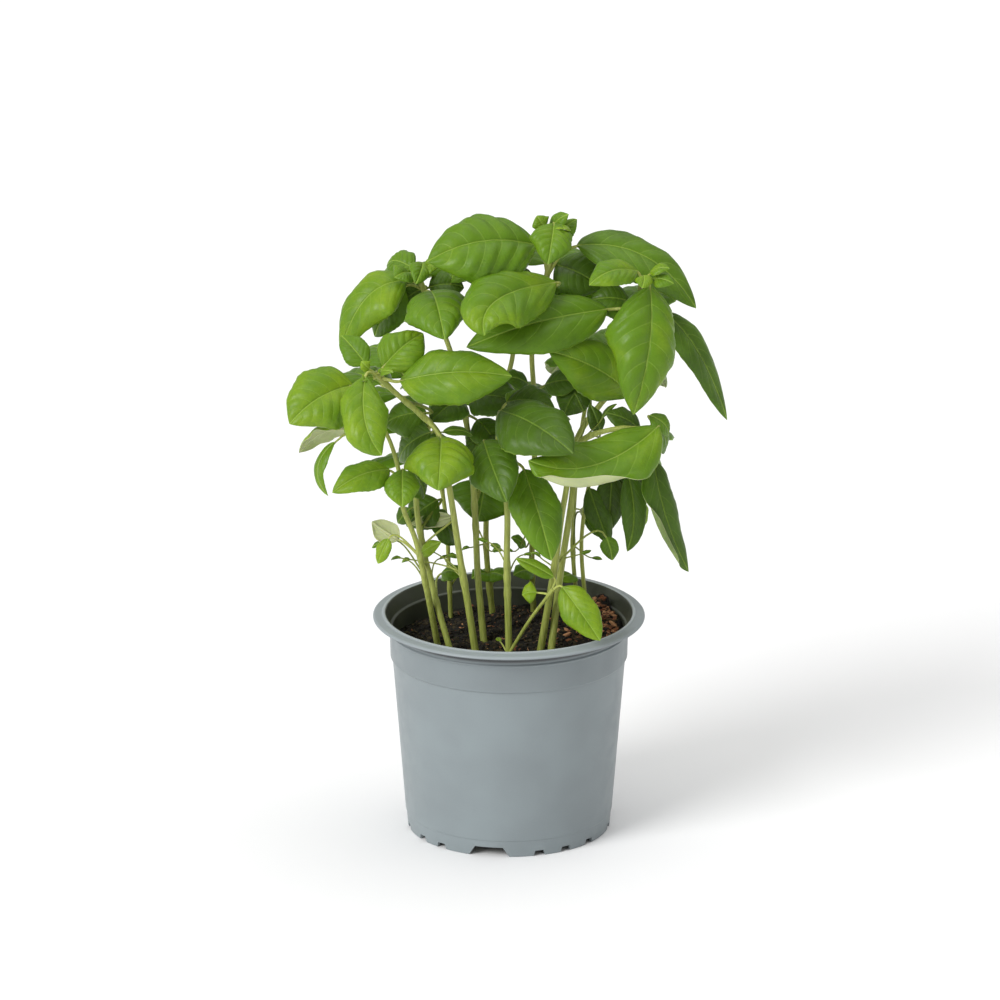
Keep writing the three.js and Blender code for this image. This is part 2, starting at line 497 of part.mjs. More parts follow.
// A leaf: a stalk from the stem to the blade's start, and a blade with an arched midrib.
function leaf(stem, [at, baseAt, middleAt, tipAt, width, faceTo, bend]) {
  const [base, tip, face] = [vector(baseAt), vector(tipAt), vector(faceTo).normalize()];
  const pull = vector(middleAt).multiplyScalar(2).sub(base.clone().add(tip).multiplyScalar(0.5));
  const midrib = new THREE.QuadraticBezierCurve3(base, pull, tip);
  const start = stem.getPointAt(at);
  const stalk = midrib.getTangent(0).lerp(base.clone().sub(start).normalize(), 0.6).normalize();

  const broad = width >= BROAD;
  const across = broad ? 5 : 3;
  const rings = [
    leafRing(start, stalk, face, STALK_HALF_WIDTH, STALK_DEPTH, bend, across, true),
    leafRing(base, midrib.getTangent(0), face, STALK_HALF_WIDTH, STALK_DEPTH, bend, across, true),
  ];
  for (const t of broad ? BROAD_STATIONS : SMALL_STATIONS) {
    const halfWidth = (width / 2) * outline(t);
    rings.push(leafRing(midrib.getPoint(t), midrib.getTangent(t), face, halfWidth, BLADE, bend, across));
  }
  rings.push(rings[0].map(() => tip));
  return solid(loft(rings));
}

// A whole shoot is one body: the stem with every leaf's stalk sunk into it.
function shoot(spec) {
  const curve = stemCurve(spec);
  const steps = Math.round(curve.getLength() / STEM_STEP) + 2;
  const stem = solid(rod(curve, ...spec.radius, steps));
  return wasm.Manifold.union([stem, ...spec.leaves.map((entry) => leaf(curve, entry))]);
}

// The plain hole in the soil that a stem stands in.
function stemHole(spec) {
  const [foot, next] = spec.stem.map(vector);
  const down = foot.clone().sub(next).normalize();
  const deep = foot.clone().addScaledVector(down, ROOT_DEPTH + CLEAR);
  const high = foot.clone().addScaledVector(down, -ROOT_DEPTH);
  const radius = (spec.radius[0] + CLEAR) / Math.cos(Math.PI / STEM_SIDES);
  return solid(rod(new THREE.LineCurve3(deep, high), radius, radius, 1));
}

// ---- Materials ----
const potPlastic = new THREE.MeshStandardMaterial({ color: 0x97a2a7, roughness: 0.45, metalness: 0 });
const darkSoil = new THREE.MeshStandardMaterial({ color: 0x241912, roughness: 1, metalness: 0 });
const basilGreen = new THREE.MeshStandardMaterial({ color: 0x6d9a2f, roughness: 0.5, metalness: 0 });

// ---- The assembly ----
const group = new THREE.Group();
group.add(meshOf("pot", pot(), potPlastic));
const shoots = Object.entries(SHOOTS);
const holes = wasm.Manifold.union(shoots.map(([, spec]) => stemHole(spec)));
group.add(meshOf("soil", soilBody().subtract(holes), darkSoil));
for (const [name, spec] of shoots) group.add(meshOf(name, shoot(spec), basilGreen));

export default group;
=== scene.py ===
# %% [markdown]
# # A potted basil plant
# Sweet basil grows as a bundle of upright stems in a thin plastic nursery pot. The imported solids give the
# size and the place of everything: a pot, its soil and thirteen leafy shoots. This notebook dresses them.
# It starts by loading the solids, which never move.

# %% Load the frame
import math

import bpy
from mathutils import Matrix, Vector, noise


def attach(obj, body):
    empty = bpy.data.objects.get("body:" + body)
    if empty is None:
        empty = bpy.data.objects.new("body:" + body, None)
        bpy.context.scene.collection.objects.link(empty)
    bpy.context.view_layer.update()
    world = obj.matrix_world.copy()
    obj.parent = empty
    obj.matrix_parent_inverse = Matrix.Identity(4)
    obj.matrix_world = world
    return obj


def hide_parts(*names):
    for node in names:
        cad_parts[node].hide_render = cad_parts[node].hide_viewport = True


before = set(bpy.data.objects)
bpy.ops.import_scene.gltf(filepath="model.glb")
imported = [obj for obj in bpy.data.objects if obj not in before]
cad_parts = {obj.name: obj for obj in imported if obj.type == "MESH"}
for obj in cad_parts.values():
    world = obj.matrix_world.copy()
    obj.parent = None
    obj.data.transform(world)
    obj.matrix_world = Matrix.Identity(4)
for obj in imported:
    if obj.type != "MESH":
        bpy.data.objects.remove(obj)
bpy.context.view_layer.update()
scene = bpy.context.scene
MM = 0.001  # every size below is in millimetres, and Blender works in metres

# %% [markdown]
# ## Camera
# The plant is seen from the front, 18 degrees from above, through a long lens from 3.5 m away. A long lens
# keeps upright stems parallel, which is why product pictures use one. Its place follows from the target, the
# elevation and the distance, and the focal length from how wide the picture is where the plant stands.

# %% Camera
TARGET = Vector((-4.27, 0, 162.7)) * MM
ELEVATION = math.radians(18)
DISTANCE = 3500 * MM
PICTURE_PIXELS, PIXELS_PER_MM = 1000, 2.107  # the second is at the target
PICTURE_WIDTH = PICTURE_PIXELS / PIXELS_PER_MM * MM

camera = bpy.data.objects.new("camera", bpy.data.cameras.new("camera"))
scene.collection.objects.link(camera)
scene.camera = camera
camera.location = TARGET + DISTANCE * Vector((0, -math.cos(ELEVATION), math.sin(ELEVATION)))
camera.rotation_euler = (math.pi / 2 - ELEVATION, 0, 0)
camera.data.sensor_width = 36
camera.data.lens = camera.data.sensor_width * DISTANCE / PICTURE_WIDTH
camera.data.clip_start = 0.1
print("focal length in mm:", round(camera.data.lens, 1))

# %% [markdown]
# ## Nodes written as sums
# Shapes and finishes below are node trees. Laying nodes one by one makes long listings, so two small classes
# let Python write them: a Field is a value on its way through a tree, and a sum written with it lays Math
# nodes, one for each +, -, *, / or **.
# The same classes serve Geometry Nodes and materials, because both have the same Math nodes.

# %% Node helpers
class Field:
    """A value that flows through a tree."""

    def __init__(self, tree, node, name=None):
        open_outputs = [s for s in node.outputs if s.enabled]
        self.tree, self.node = tree, node
        self.socket = next(s for s in open_outputs if name in (None, s.name))

    def also(self, name):
        """Another output of the same node."""
        return Field(self.tree, self.node, name)


def operator(operation, swapped=False):
    """The method of a Field that lays one Math node for +, -, *, / or **."""
    def lay(self, other):
        return self.tree.sum(operation, *((other, self) if swapped else (self, other)))

    return lay


for sign, operation in dict(add="ADD", sub="SUBTRACT", mul="MULTIPLY", truediv="DIVIDE", pow="POWER").items():
    setattr(Field, f"__{sign}__", operator(operation))
    setattr(Field, f"__r{sign}__", operator(operation, swapped=True))


def is_vector(value):
    if isinstance(value, Field):
        return value.socket.type == "VECTOR"
    return isinstance(value, (tuple, Vector))


class Tree:
    """A node tree under construction."""

    def __init__(self, group):
        self.group = group
        self.group.nodes.clear()

    def add(self, kind, *values, named=None, **settings):
        """Lays a node: its settings, its inputs in their order, and then inputs by name."""
        node = self.group.nodes.new(kind)
        for key, value in settings.items():
            setattr(node, key, value)
        open_inputs = [s for s in node.inputs if s.enabled]
        pairs = list(zip(open_inputs, values))
        pairs += [(next(s for s in open_inputs if s.name == name), v) for name, v in (named or {}).items()]
        for socket, value in pairs:
            for one in value if isinstance(value, list) else [value]:
                if isinstance(one, Field):
                    self.group.links.new(one.socket, socket)
                elif one is not None:
                    socket.default_value = one
        return Field(self, node)

    def sum(self, operation, *values):
        """A Math node, or a Vector Math node if one of the values is a vector."""
        if not any(map(is_vector, values)):
            return self.add("ShaderNodeMath", *values, operation=operation)
        if operation in ("MULTIPLY", "DIVIDE") and not all(map(is_vector, values)):
            vector, number = values if is_vector(values[0]) else values[::-1]
            if operation == "DIVIDE":
                number = self.sum("DIVIDE", 1.0, number)
            return self.add("ShaderNodeVectorMath", vector, number, operation="SCALE")
        return self.add("ShaderNodeVectorMath", *values, operation=operation)

    def smooth(self, value, start, end, low=0.0, high=1.0):
        """low before start, high after end, and an even S between them."""
        return self.add("ShaderNodeMapRange", value, start, end, low, high, interpolation_type="SMOOTHSTEP")


# %% [markdown]
# A Geometry Nodes tree gets its sizes as named inputs, so one tree serves many pieces. Its modifier finds an
# input by the socket's identifier, which stays the same when a label changes. The result is turned into a
# plain mesh at once, so nothing is left to work out later.

# %% Geometry Nodes helpers
SOCKETS = {float: "NodeSocketFloat", int: "NodeSocketInt", bpy.types.Material: "NodeSocketMaterial"}


class Maker(Tree):
    """A Geometry Nodes tree with named inputs."""

    def __init__(self, name, **inputs):
        super().__init__(bpy.data.node_groups.new(name, "GeometryNodeTree"))
        face = self.group.interface
        face.new_socket("Geometry", in_out="OUTPUT", socket_type="NodeSocketGeometry")
        face.new_socket("Geometry", in_out="INPUT", socket_type="NodeSocketGeometry")
        self.identifiers = {}
        for label, value in inputs.items():
            socket = face.new_socket(label, in_out="INPUT", socket_type=SOCKETS[type(value)])
            socket.default_value = value
            self.identifiers[label] = socket.identifier
        self.inputs = self.group.nodes.new("NodeGroupInput")
        self.end = self.group.nodes.new("NodeGroupOutput")

    def given(self, name="Geometry"):
        return Field(self, self.inputs, name)

    def read(self, name, kind="FLOAT"):
        return self.add("GeometryNodeInputNamedAttribute", name, data_type=kind)

    def store(self, geometry, name, value, kind="FLOAT"):
        return self.add("GeometryNodeStoreNamedAttribute", geometry, True, name, value, data_type=kind)

    def finish(self, geometry):
        whole = self.add("GeometryNodeRealizeInstances", geometry)
        self.group.links.new(whole.socket, self.end.inputs[0])

    def run(self, name, mesh, **values):
        """Runs the tree on a mesh and returns an object that holds the plain result."""
        piece = bpy.data.objects.new(name, mesh)
        scene.collection.objects.link(piece)
        modifier = piece.modifiers.new("make", "NODES")
        modifier.node_group = self.group
        for label, value in values.items():
            modifier[self.identifiers[label]] = value
        graph = bpy.context.evaluated_depsgraph_get()
        result = bpy.data.meshes.new_from_object(piece.evaluated_get(graph), depsgraph=graph)
        piece.modifiers.remove(modifier)
        piece.data = result
        result.name = name
        print(f"{name}: {len(result.vertices)} vertices, {len(result.polygons)} faces")
        return piece


def plan(name, points, edges=(), **attributes):
    """A mesh of points and edges, with a number or a vector for each point, that a tree works from."""
    mesh = bpy.data.meshes.new(name)
    mesh.from_pydata([Vector(p) * MM for p in points], edges, [])
    for label, values in attributes.items():
        vectors = isinstance(values[0], (tuple, Vector))
        layer = mesh.attributes.new(label, "FLOAT_VECTOR" if vectors else "FLOAT", "POINT")
        for item, value in zip(layer.data, values):
            if vectors:
                item.vector = value
            else:
                item.value = value
    return mesh


# %% [markdown]
# A finish is a Principled BSDF and the nodes that feed it. Patterns are read at Object coordinates in
# millimetres, so that a speck on the pot and a crumb of soil are stated at their real size.

# %% Material helpers
class Finish(Tree):
    """A material under construction. Its fixed numbers are set on the shader's own sockets."""

    def __init__(self, name, **fixed):
        self.material = bpy.data.materials.new(name)
        self.material.use_nodes = True
        super().__init__(self.material.node_tree)
        self.shader = self.group.nodes.new("ShaderNodeBsdfPrincipled")
        output = self.group.nodes.new("ShaderNodeOutputMaterial")
        self.group.links.new(self.shader.outputs[0], output.inputs["Surface"])
        for label, value in fixed.items():
            self.shader.inputs[label.replace("_", " ")].default_value = value

    def place(self, stretch=(1, 1, 1)):
        """Object coordinates in millimetres."""
        scale = tuple(s / MM for s in stretch)
        return self.add("ShaderNodeTexCoord").also("Object") * scale

    def grain(self, place, scale, detail=3.0, roughness=0.5):
        """Noise from 0 to 1, scale in waves for each millimetre."""
        return self.add("ShaderNodeTexNoise", place, scale, detail, roughness)

    def read(self, name):
        return self.add("ShaderNodeAttribute", attribute_name=name).also("Fac")

    def mix(self, share, first, second):
        return self.add("ShaderNodeMix", share, first, second, data_type="RGBA")

    def feed(self, label, value):
        self.group.links.new(value.socket, self.shader.inputs[label])

    def bump(self, height, strength, distance):
        """Fine relief: distance is the height in millimetres that a step of 1 stands for."""
        node = self.add("ShaderNodeBump",
                        named={"Strength": strength, "Distance": distance * MM, "Height": height})
        self.feed("Normal", node)


def rgb(red, green, blue):
    """A colour as it is read off a screen, from 0 to 255, for a shader. The numbers are those of sRGB."""
    def linear(c):
        return c / 12.92 if c <= 0.04045 else ((c + 0.055) / 1.055) ** 2.4

    return (linear(red / 255), linear(green / 255), linear(blue / 255), 1)


# %% [markdown]
# ## Studio
# The main light comes from the upper left in front, as from a wide window, and a weaker one from above and
# behind. Both are suns with a wide disk, so they light the whole floor evenly and their shadows are soft.
# Area lights would be brighter near by. The sky is an even white.

# %% Studio
def soft_sun(name, towards, width, strength):
    """A wide sun that stands in the direction towards, seen from the plant."""
    light = bpy.data.objects.new(name, bpy.data.lights.new(name, "SUN"))
    scene.collection.objects.link(light)
    light.location = towards
    light.rotation_euler = Vector(towards).to_track_quat("Z", "Y").to_euler()
    light.data.angle = math.radians(width)
    light.data.energy = strength


SKY_STRENGTH = 0.48
soft_sun("key", towards=(-1.0, -0.9, 0.85), width=30, strength=2.15)
soft_sun("top", towards=(0.2, 0.3, 1.6), width=60, strength=0.95)

world = bpy.data.worlds.new("studio")
scene.world = world
world.use_nodes = True
world.node_tree.nodes["Background"].inputs["Color"].default_value = (1, 1, 1, 1)
world.node_tree.nodes["Background"].inputs["Strength"].default_value = SKY_STRENGTH
scene.view_settings.view_transform = "Standard"
print("lights:", len(bpy.data.lights))

# %% [markdown]
# The floor is one large square of matt paper.

# %% Floor
FLOOR_HALF = 6000
PAPER_CLOUD = 0.002  # waves to a millimetre

floor_mesh = bpy.data.meshes.new("floor")
corners = [(x * FLOOR_HALF * MM, y * FLOOR_HALF * MM, 0) for x, y in ((-1, -1), (1, -1), (1, 1), (-1, 1))]
floor_mesh.from_pydata(corners, [], [(0, 1, 2, 3)])
floor = bpy.data.objects.new("floor", floor_mesh)
scene.collection.objects.link(floor)
paper = Finish("pale_floor", Roughness=0.9)
cloud = paper.grain(paper.place(), PAPER_CLOUD)
paper.feed("Base Color", paper.mix(cloud, rgb(251, 251, 251), rgb(255, 255, 255)))
floor_mesh.materials.append(paper.material)
print("floor width in m:", 2 * FLOOR_HALF * MM)

# %% [markdown]
# ## Pot
# A nursery pot is pressed from one thin sheet. Its wall in section is a closed line: up the outside, over
# the rim, down the inside and across the floor to the hole in the middle. Turning that line about the axis
# gives the pot. The Spin tool could do that too, but the pot also needs holes and notches, and in a node tree
# their sizes stay numbers. Each pair below is a radius and a height, stated from the sizes at the top.

# %% Pot section
RIM_RADIUS, RIM_EDGE_Z, RIM_TOP_Z, MOUTH_RADIUS = 65, 105.3, 107.1, 59.2
COLLAR_RADIUS, COLLAR_FOOT_Z, NECK_Z = 56.7, 85, 98.9
BODY_TOP_RADIUS, BODY_TOP_Z, FOOT_RADIUS = 54.4, 70, 48.5
WALL, SKIRT, FLOOR_UNDERSIDE_Z, FLOOR_TOP_Z, FOOT_LINE_Z = 1.1, 1.7, 5.2, 6.5, 8
CENTRE_HOLE_RADIUS = 6
COLLAR_INSIDE = COLLAR_RADIUS - WALL - 0.2


def taper(z):
    """The body's outer radius at a height."""
    return FOOT_RADIUS + (BODY_TOP_RADIUS - FOOT_RADIUS) * z / BODY_TOP_Z


OUTSIDE = [
    (FOOT_RADIUS - SKIRT, 0), (FOOT_RADIUS, 0),  # foot ring
    (taper(FOOT_LINE_Z) - 0.05, FOOT_LINE_Z), (taper(FOOT_LINE_Z) + 0.35, FOOT_LINE_Z + 0.4),  # foot line
    (BODY_TOP_RADIUS, BODY_TOP_Z), (BODY_TOP_RADIUS + 1.2, COLLAR_FOOT_Z - 0.3),  # body
    (COLLAR_RADIUS - 0.1, COLLAR_FOOT_Z + 0.6), (COLLAR_RADIUS + 0.2, NECK_Z - 0.8),  # step and collar
    (COLLAR_RADIUS + 0.9, NECK_Z - 0.2), (COLLAR_RADIUS + 0.9, NECK_Z + 0.3),  # ridge
    (COLLAR_RADIUS + 0.3, NECK_Z + 0.9), (COLLAR_RADIUS + 0.8, NECK_Z + 3.4),  # neck
    (RIM_RADIUS - 5.6, RIM_EDGE_Z - 0.7),  # flare
]
RIM = [
    (RIM_RADIUS - 1.5, RIM_EDGE_Z - 0.4), (RIM_RADIUS - 1.1, RIM_EDGE_Z - 0.9),  # under the lip
    (RIM_RADIUS - 0.3, RIM_EDGE_Z - 0.7), (RIM_RADIUS, RIM_EDGE_Z),  # edge
    (RIM_RADIUS - 1, RIM_EDGE_Z + 0.7), (RIM_RADIUS - 3.2, RIM_TOP_Z - 0.7),  # top of the lip
    (MOUTH_RADIUS + 1.5, RIM_TOP_Z - 0.5), (MOUTH_RADIUS + 1, RIM_TOP_Z),  # bead round the mouth
    (MOUTH_RADIUS, RIM_TOP_Z), (MOUTH_RADIUS - 0.5, RIM_TOP_Z - 0.6),  # mouth
]
INSIDE = [
    (COLLAR_RADIUS + 0.1, NECK_Z + 2), (COLLAR_RADIUS - 0.1, NECK_Z + 1.3),  # neck
    (COLLAR_INSIDE, NECK_Z + 0.8), (COLLAR_INSIDE, NECK_Z), (COLLAR_INSIDE, COLLAR_FOOT_Z + 1.2),  # collar
    (BODY_TOP_RADIUS - WALL, BODY_TOP_Z), (taper(FLOOR_TOP_Z) - WALL, FLOOR_TOP_Z),  # body
]
FLOOR = [
    (CENTRE_HOLE_RADIUS, FLOOR_TOP_Z), (CENTRE_HOLE_RADIUS, FLOOR_UNDERSIDE_Z),
    (FOOT_RADIUS - SKIRT, FLOOR_UNDERSIDE_Z),
]
section = [(r, 0, z) for r, z in OUTSIDE + RIM + INSIDE + FLOOR]
loop = [(i, (i + 1) % len(section)) for i in range(len(section))]
print("points in the section:", len(section))

# %% [markdown]
# The foot ring has three wide notches with small ones between them, so that water runs out from under the
# pot, and the floor has six drain holes round the middle one. Each cutter is a point in the plan, with its
# angle and its sizes, and the tree puts a wedge or a cylinder there.

# %% Notches and drain holes
SECTION, NOTCH, DRAIN = 0, 1, 2  # what a point of the plan is for
WIDE_NOTCH, SMALL_NOTCH = (13.5, 21, 4.8), (4.2, 6.4, 2.7)  # width at the top and at the floor, height
# the wide ones, and the small ones after each, in degrees from the front towards +X
NOTCHES = {-11.4: (17.4, 33.8, 51.6, 79), 108.6: (139, 158, 178, 198), 228.6: (259, 281, 302.4, 318.6)}
DRAIN_HOLES, FIRST_DRAIN, DRAIN_RADIUS, DRAIN_CIRCLE_RADIUS = 6, 30, 4.5, 31

cutters = []  # kind, place, turn in degrees, size
for wide, small in NOTCHES.items():
    cutters.append((NOTCH, (0, 0, 0), wide, WIDE_NOTCH))
    cutters += [(NOTCH, (0, 0, 0), angle, SMALL_NOTCH) for angle in small]
for angle in (math.radians(360 / DRAIN_HOLES * i + FIRST_DRAIN) for i in range(DRAIN_HOLES)):
    place = (DRAIN_CIRCLE_RADIUS * math.cos(angle), DRAIN_CIRCLE_RADIUS * math.sin(angle), FLOOR_TOP_Z)
    cutters.append((DRAIN, place, 0, (DRAIN_RADIUS, DRAIN_RADIUS, 0)))

blank = [(SECTION, point, 0, (0, 0, 0)) for point in section]
kinds, places, turns, sizes = zip(*(blank + cutters))
pot_plan = plan("pot_plan", places, loop, kind=kinds, turn=[math.radians(t) for t in turns],
                size=[Vector(s) * MM for s in sizes])
print("cutters:", len(cutters))

# %% [markdown]
# Plastic of this kind is dyed through: a dull blue-grey outside, and a nearly black layer inside. A faint
# unevenness of colour and sheen comes from the mould, and so does a very fine grain. Noise at Object
# coordinates gives both. A painted highlight lightens the mouth's edge, a painted reflection the top of the
# lip, and painted shade darkens the crease under the lip and, more faintly, the collar. Those are bands of
# height. The dark layer is a finish of its own.

# %% Plastics
CLOUD, WORN, SPECK = 0.035, 0.12, 1.6  # uneven colour, uneven sheen and grain, in waves to a millimetre
PLASTIC_IOR, GRAIN_HEIGHT = 1.49, 0.05


def plastic(name, light, dark, roughness, painted_highlight=None, painted_shade=None):
    """A moulded plastic, plain or with a painted highlight on its rim and painted shade under its lip."""
    finish = Finish(name, Roughness=roughness, IOR=PLASTIC_IOR)
    place = finish.place()
    cloud = finish.grain(place, CLOUD, 2.0)
    speck = finish.grain(place, SPECK, 4.0)
    tone = finish.smooth(cloud * 0.8 + speck * 0.2, 0.3, 0.7)
    colour = finish.mix(tone, light, dark)
    axes = finish.add("ShaderNodeSeparateXYZ", place)
    height, radius = axes.also("Z"), finish.sum("LENGTH", place * (1, 1, 0))

    def band(value, low, high, fade):
        """1 between low and high, and soft towards 0 outside them."""
        rise = finish.smooth(value, low - fade, low + fade)
        return rise * finish.smooth(value, high - fade, high + fade, 1.0, 0.0)

    if painted_shade:
        # painted shade: a dark band in the crease under the lip and a faint one over the collar below the rim
        crease = band(height, NECK_Z + 1.9, RIM_EDGE_Z - 0.5, 0.7)
        collar = band(height, COLLAR_FOOT_Z, NECK_Z + 4, 2.5)
        colour = finish.mix(crease * (0.75 + speck * 0.25) + collar * 0.16, colour, painted_shade)
        # painted highlight on the mouth's edge and painted reflection on the top of the lip
        edge = band(height, RIM_TOP_Z - 0.25, RIM_TOP_Z + 1, 0.2)
        edge = edge * band(radius, MOUTH_RADIUS - 1, MOUTH_RADIUS + 1, 0.3)
        lip = band(height, RIM_EDGE_Z - 0.4, RIM_TOP_Z + 1, 0.3)
        lip = lip * band(radius, RIM_RADIUS - 5, RIM_RADIUS, 0.6)
        colour = finish.mix(edge * 0.7 + lip * 0.3, colour, painted_highlight)
    finish.feed("Base Color", colour)
    worn = finish.smooth(finish.grain(place, WORN), 0.3, 0.7, roughness - 0.05, roughness + 0.07)
    finish.feed("Roughness", worn)
    finish.bump(speck, 0.35, GRAIN_HEIGHT)
    return finish.material


# the last two colours are the painted highlight on the rim and the painted shade under the lip
pot_plastic = plastic("blue_grey_plastic", rgb(136, 146, 149), rgb(130, 139, 142), 0.42,
                      painted_highlight=rgb(196, 204, 208), painted_shade=rgb(70, 73, 75))
dark_plastic = plastic("dark_inner_plastic", rgb(84, 88, 76), rgb(72, 76, 66), 0.34)
print("plastics:", pot_plastic.name, dark_plastic.name)

# %% [markdown]
# The tree takes the section out of the plan, rounds its corners a little and sweeps it round a circle. The
# sweep shifts and turns the section with the circle's own frame. So each point keeps its radius and height as
# numbers, and is put at its true place once the sweep has joined everything up.

# %% Pot wall
FILLET_POINTS = 3

turning = Maker("pot_from_section", Sides=200, Fillet=0.5 * MM, Reach=16 * MM, Plastic=pot_plastic,
                Lining=dark_plastic)


def only(kind):
    """The part of the plan that is for one thing."""
    same = turning.add("FunctionNodeCompare", turning.read("kind"), float(kind), operation="EQUAL")
    return turning.add("GeometryNodeSeparateGeometry", turning.given(), same)


def polar(radius, angle, height):
    """A point at a radius and an angle from the front, towards +X."""
    sine, cosine = turning.sum("SINE", angle), turning.sum("COSINE", angle)
    return turning.add("ShaderNodeCombineXYZ", radius * sine, radius * cosine * -1.0, height)


at = turning.add("GeometryNodeInputPosition")
at_axes = turning.add("ShaderNodeSeparateXYZ", at)
line = turning.add("GeometryNodeMeshToCurve", only(SECTION))
line = turning.add("GeometryNodeFilletCurve", line, FILLET_POINTS, turning.given("Fillet"), True,
                   mode="POLY")
line = turning.store(turning.store(line, "ring", at_axes.also("X")), "height", at_axes.also("Z"))
circle = turning.add("GeometryNodeCurvePrimitiveCircle", turning.given("Sides"), 1.0, mode="RADIUS")
circle = turning.store(circle, "around", turning.add("GeometryNodeSplineParameter"))
wall = turning.add("GeometryNodeCurveToMesh", circle, line)
wall = turning.add("GeometryNodeSetPosition", wall, True,
                   polar(turning.read("ring"), turning.read("around") * math.tau, turning.read("height")))

# %% [markdown]
# A notch is cut by a wedge, wider at the floor than at its top. It starts as a cube, whose corners are then
# put where the wedge's are: across from the notch's width, outwards from its reach, and up from its height.
# A drain hole is cut by an upright cylinder. One boolean then takes all of them out of the wall.

# %% Cut notches and holes
DRILL_SIDES, DRILL_LENGTH, BELOW = 32, 6, 1  # a wedge starts 1 mm below the pot, to cut cleanly through it

cube = turning.store(turning.add("GeometryNodeMeshCube", (1, 1, 1)), "corner", at, "FLOAT_VECTOR")
wedges = turning.add("GeometryNodeInstanceOnPoints", only(NOTCH), None, cube)
wedges = turning.add("GeometryNodeRealizeInstances", wedges)
corner = turning.add("ShaderNodeSeparateXYZ", turning.read("corner", "FLOAT_VECTOR"))
size = turning.add("ShaderNodeSeparateXYZ", turning.read("size", "FLOAT_VECTOR"))
is_top = turning.sum("GREATER_THAN", corner.also("Z"), 0.0)
width = size.also("Y") + (size.also("X") - size.also("Y")) * is_top
height = size.also("Z") * is_top - BELOW * MM * (1.0 - is_top)
across = turning.add("ShaderNodeVectorRotate", turning.add("ShaderNodeCombineXYZ", corner.also("X") * width),
                     (0, 0, 0), (0, 0, 1), turning.read("turn"))
outward = polar((FOOT_RADIUS - SKIRT / 2) * MM + corner.also("Y") * turning.given("Reach"),
                turning.read("turn"), height)
wedges = turning.add("GeometryNodeSetPosition", wedges, True, across + outward)
wedges = turning.add("GeometryNodeFlipFaces", wedges, True)  # the mapping above turned them inside out

drill = turning.add("GeometryNodeMeshCylinder", DRILL_SIDES, 1, 1, 1.0, DRILL_LENGTH * MM)
drills = turning.add("GeometryNodeInstanceOnPoints", only(DRAIN), None, drill, named={
    "Scale": turning.add("ShaderNodeCombineXYZ", size.also("X"), size.also("Y"), 1.0)})
wall = turning.add("GeometryNodeMeshBoolean", wall, [wedges, drills], operation="DIFFERENCE", solver="EXACT")

# %% [markdown]
# The dark layer covers every face that looks inwards inside the mouth, and the floor. It also covers the
# underside within the foot ring, where it is painted shade. Normals and heights pick those faces, so inside
# the mouth the line between the two colours is where it would be on the real pot. Steep edges stay sharp,
# and all others are shaded smooth.

# %% Lining and edges
STEEP, HAIR = math.radians(32), 0.1  # HAIR keeps a limit off the faces that lie on it
MOUTH_MARGIN, LOOKS_IN = 0.3, 0.25  # a face looks in where the outward part of its normal is below this

radial = turning.sum("NORMALIZE", at * (1, 1, 0))
from_axis = turning.sum("LENGTH", at * (1, 1, 0))
facing = turning.sum("DOT_PRODUCT", turning.add("GeometryNodeInputNormal"), radial)
inward = turning.sum("LESS_THAN", facing, LOOKS_IN)
within = turning.sum("LESS_THAN", from_axis, (MOUTH_RADIUS - MOUTH_MARGIN) * MM)
above = turning.sum("GREATER_THAN", at_axes.also("Z"), (FLOOR_TOP_Z - HAIR) * MM)
under = turning.sum("LESS_THAN", at_axes.also("Z"), (FLOOR_UNDERSIDE_Z + HAIR) * MM)
# painted shade: the underside within the foot ring gets the dark finish too
hollow = turning.sum("LESS_THAN", from_axis, (FOOT_RADIUS - SKIRT + HAIR) * MM)
lining_and_painted_shade = turning.sum("MAXIMUM", inward * within * above, under * hollow)
wall = turning.add("GeometryNodeSetMaterial", wall, True, turning.given("Plastic"))
wall = turning.add("GeometryNodeSetMaterial", wall, lining_and_painted_shade, turning.given("Lining"))
wall = turning.add("GeometryNodeSetShadeSmooth", wall, True, True)
steep = turning.sum("GREATER_THAN", turning.add("GeometryNodeInputMeshEdgeAngle"), STEEP)
wall = turning.add("GeometryNodeSetShadeSmooth", wall, steep, False, domain="EDGE")
turning.finish(wall)

pot = turning.run("pot_shell", pot_plan)
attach(pot, "root")
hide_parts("pot")

# %% [markdown]
# ## Soil
# The soil fills the pot to about 15 mm below its rim. Its surface has low lumps, and reddish bark lies in a
# heap at the back right, against the wall. The bed is a closed mesh made of rings: the same gentle formula as
# the solid, with finer noise on it. The noise is a fixed function of the place, so it is the same each time.

# %% Height of the soil
SOIL_LEVEL, SOIL_SETTLED, SOIL_LUMP = 92, 0.8, 1.1
HEAPS = [(46, 14, 9, 11), (45, 27, 14, 8.5)]  # bark: x, y, height, radius


def heap_shares(x, y):
    """For each heap 1 on its top and 0 far from it."""
    return [math.exp(-(math.hypot(x - heap_x, y - heap_y) / radius) ** 2)
            for heap_x, heap_y, _, radius in HEAPS]


def ruffle(x, y, height, waves, level):
    """Smooth noise: its height, its waves to a millimetre, and the level of the noise that is read."""
    return height * noise.noise((x * waves, y * waves, level))


def soil_height(x, y):
    """The height of the surface: slow waves that cross each other, fine noise and the heaps."""
    lumps = math.sin(0.31 * x + 1.1) * math.cos(0.27 * y - 0.4) + 0.6 * math.sin(0.62 * x - 0.53 * y)
    fine = ruffle(x, y, 1.2, 0.22, 4.0) + ruffle(x, y, 0.5, 0.7, 9.0)
    heap = max(height * share for (_, _, height, _), share in zip(HEAPS, heap_shares(x, y)))
    return SOIL_LEVEL - SOIL_SETTLED + SOIL_LUMP * lumps + fine + heap


print("soil height in the middle:", round(soil_height(0, 0), 1))

# %% [markdown]
# The rings go up along the pot's wall, a hair away from it, and then inwards over the top. One point closes
# the bed below and one above. A grid pushed up by Displace would be quicker, but it would leave the sides
# and the underside open.

# %% Soil bed
CLEAR, RING_POINTS, TOP_RINGS = 0.3, 144, 60

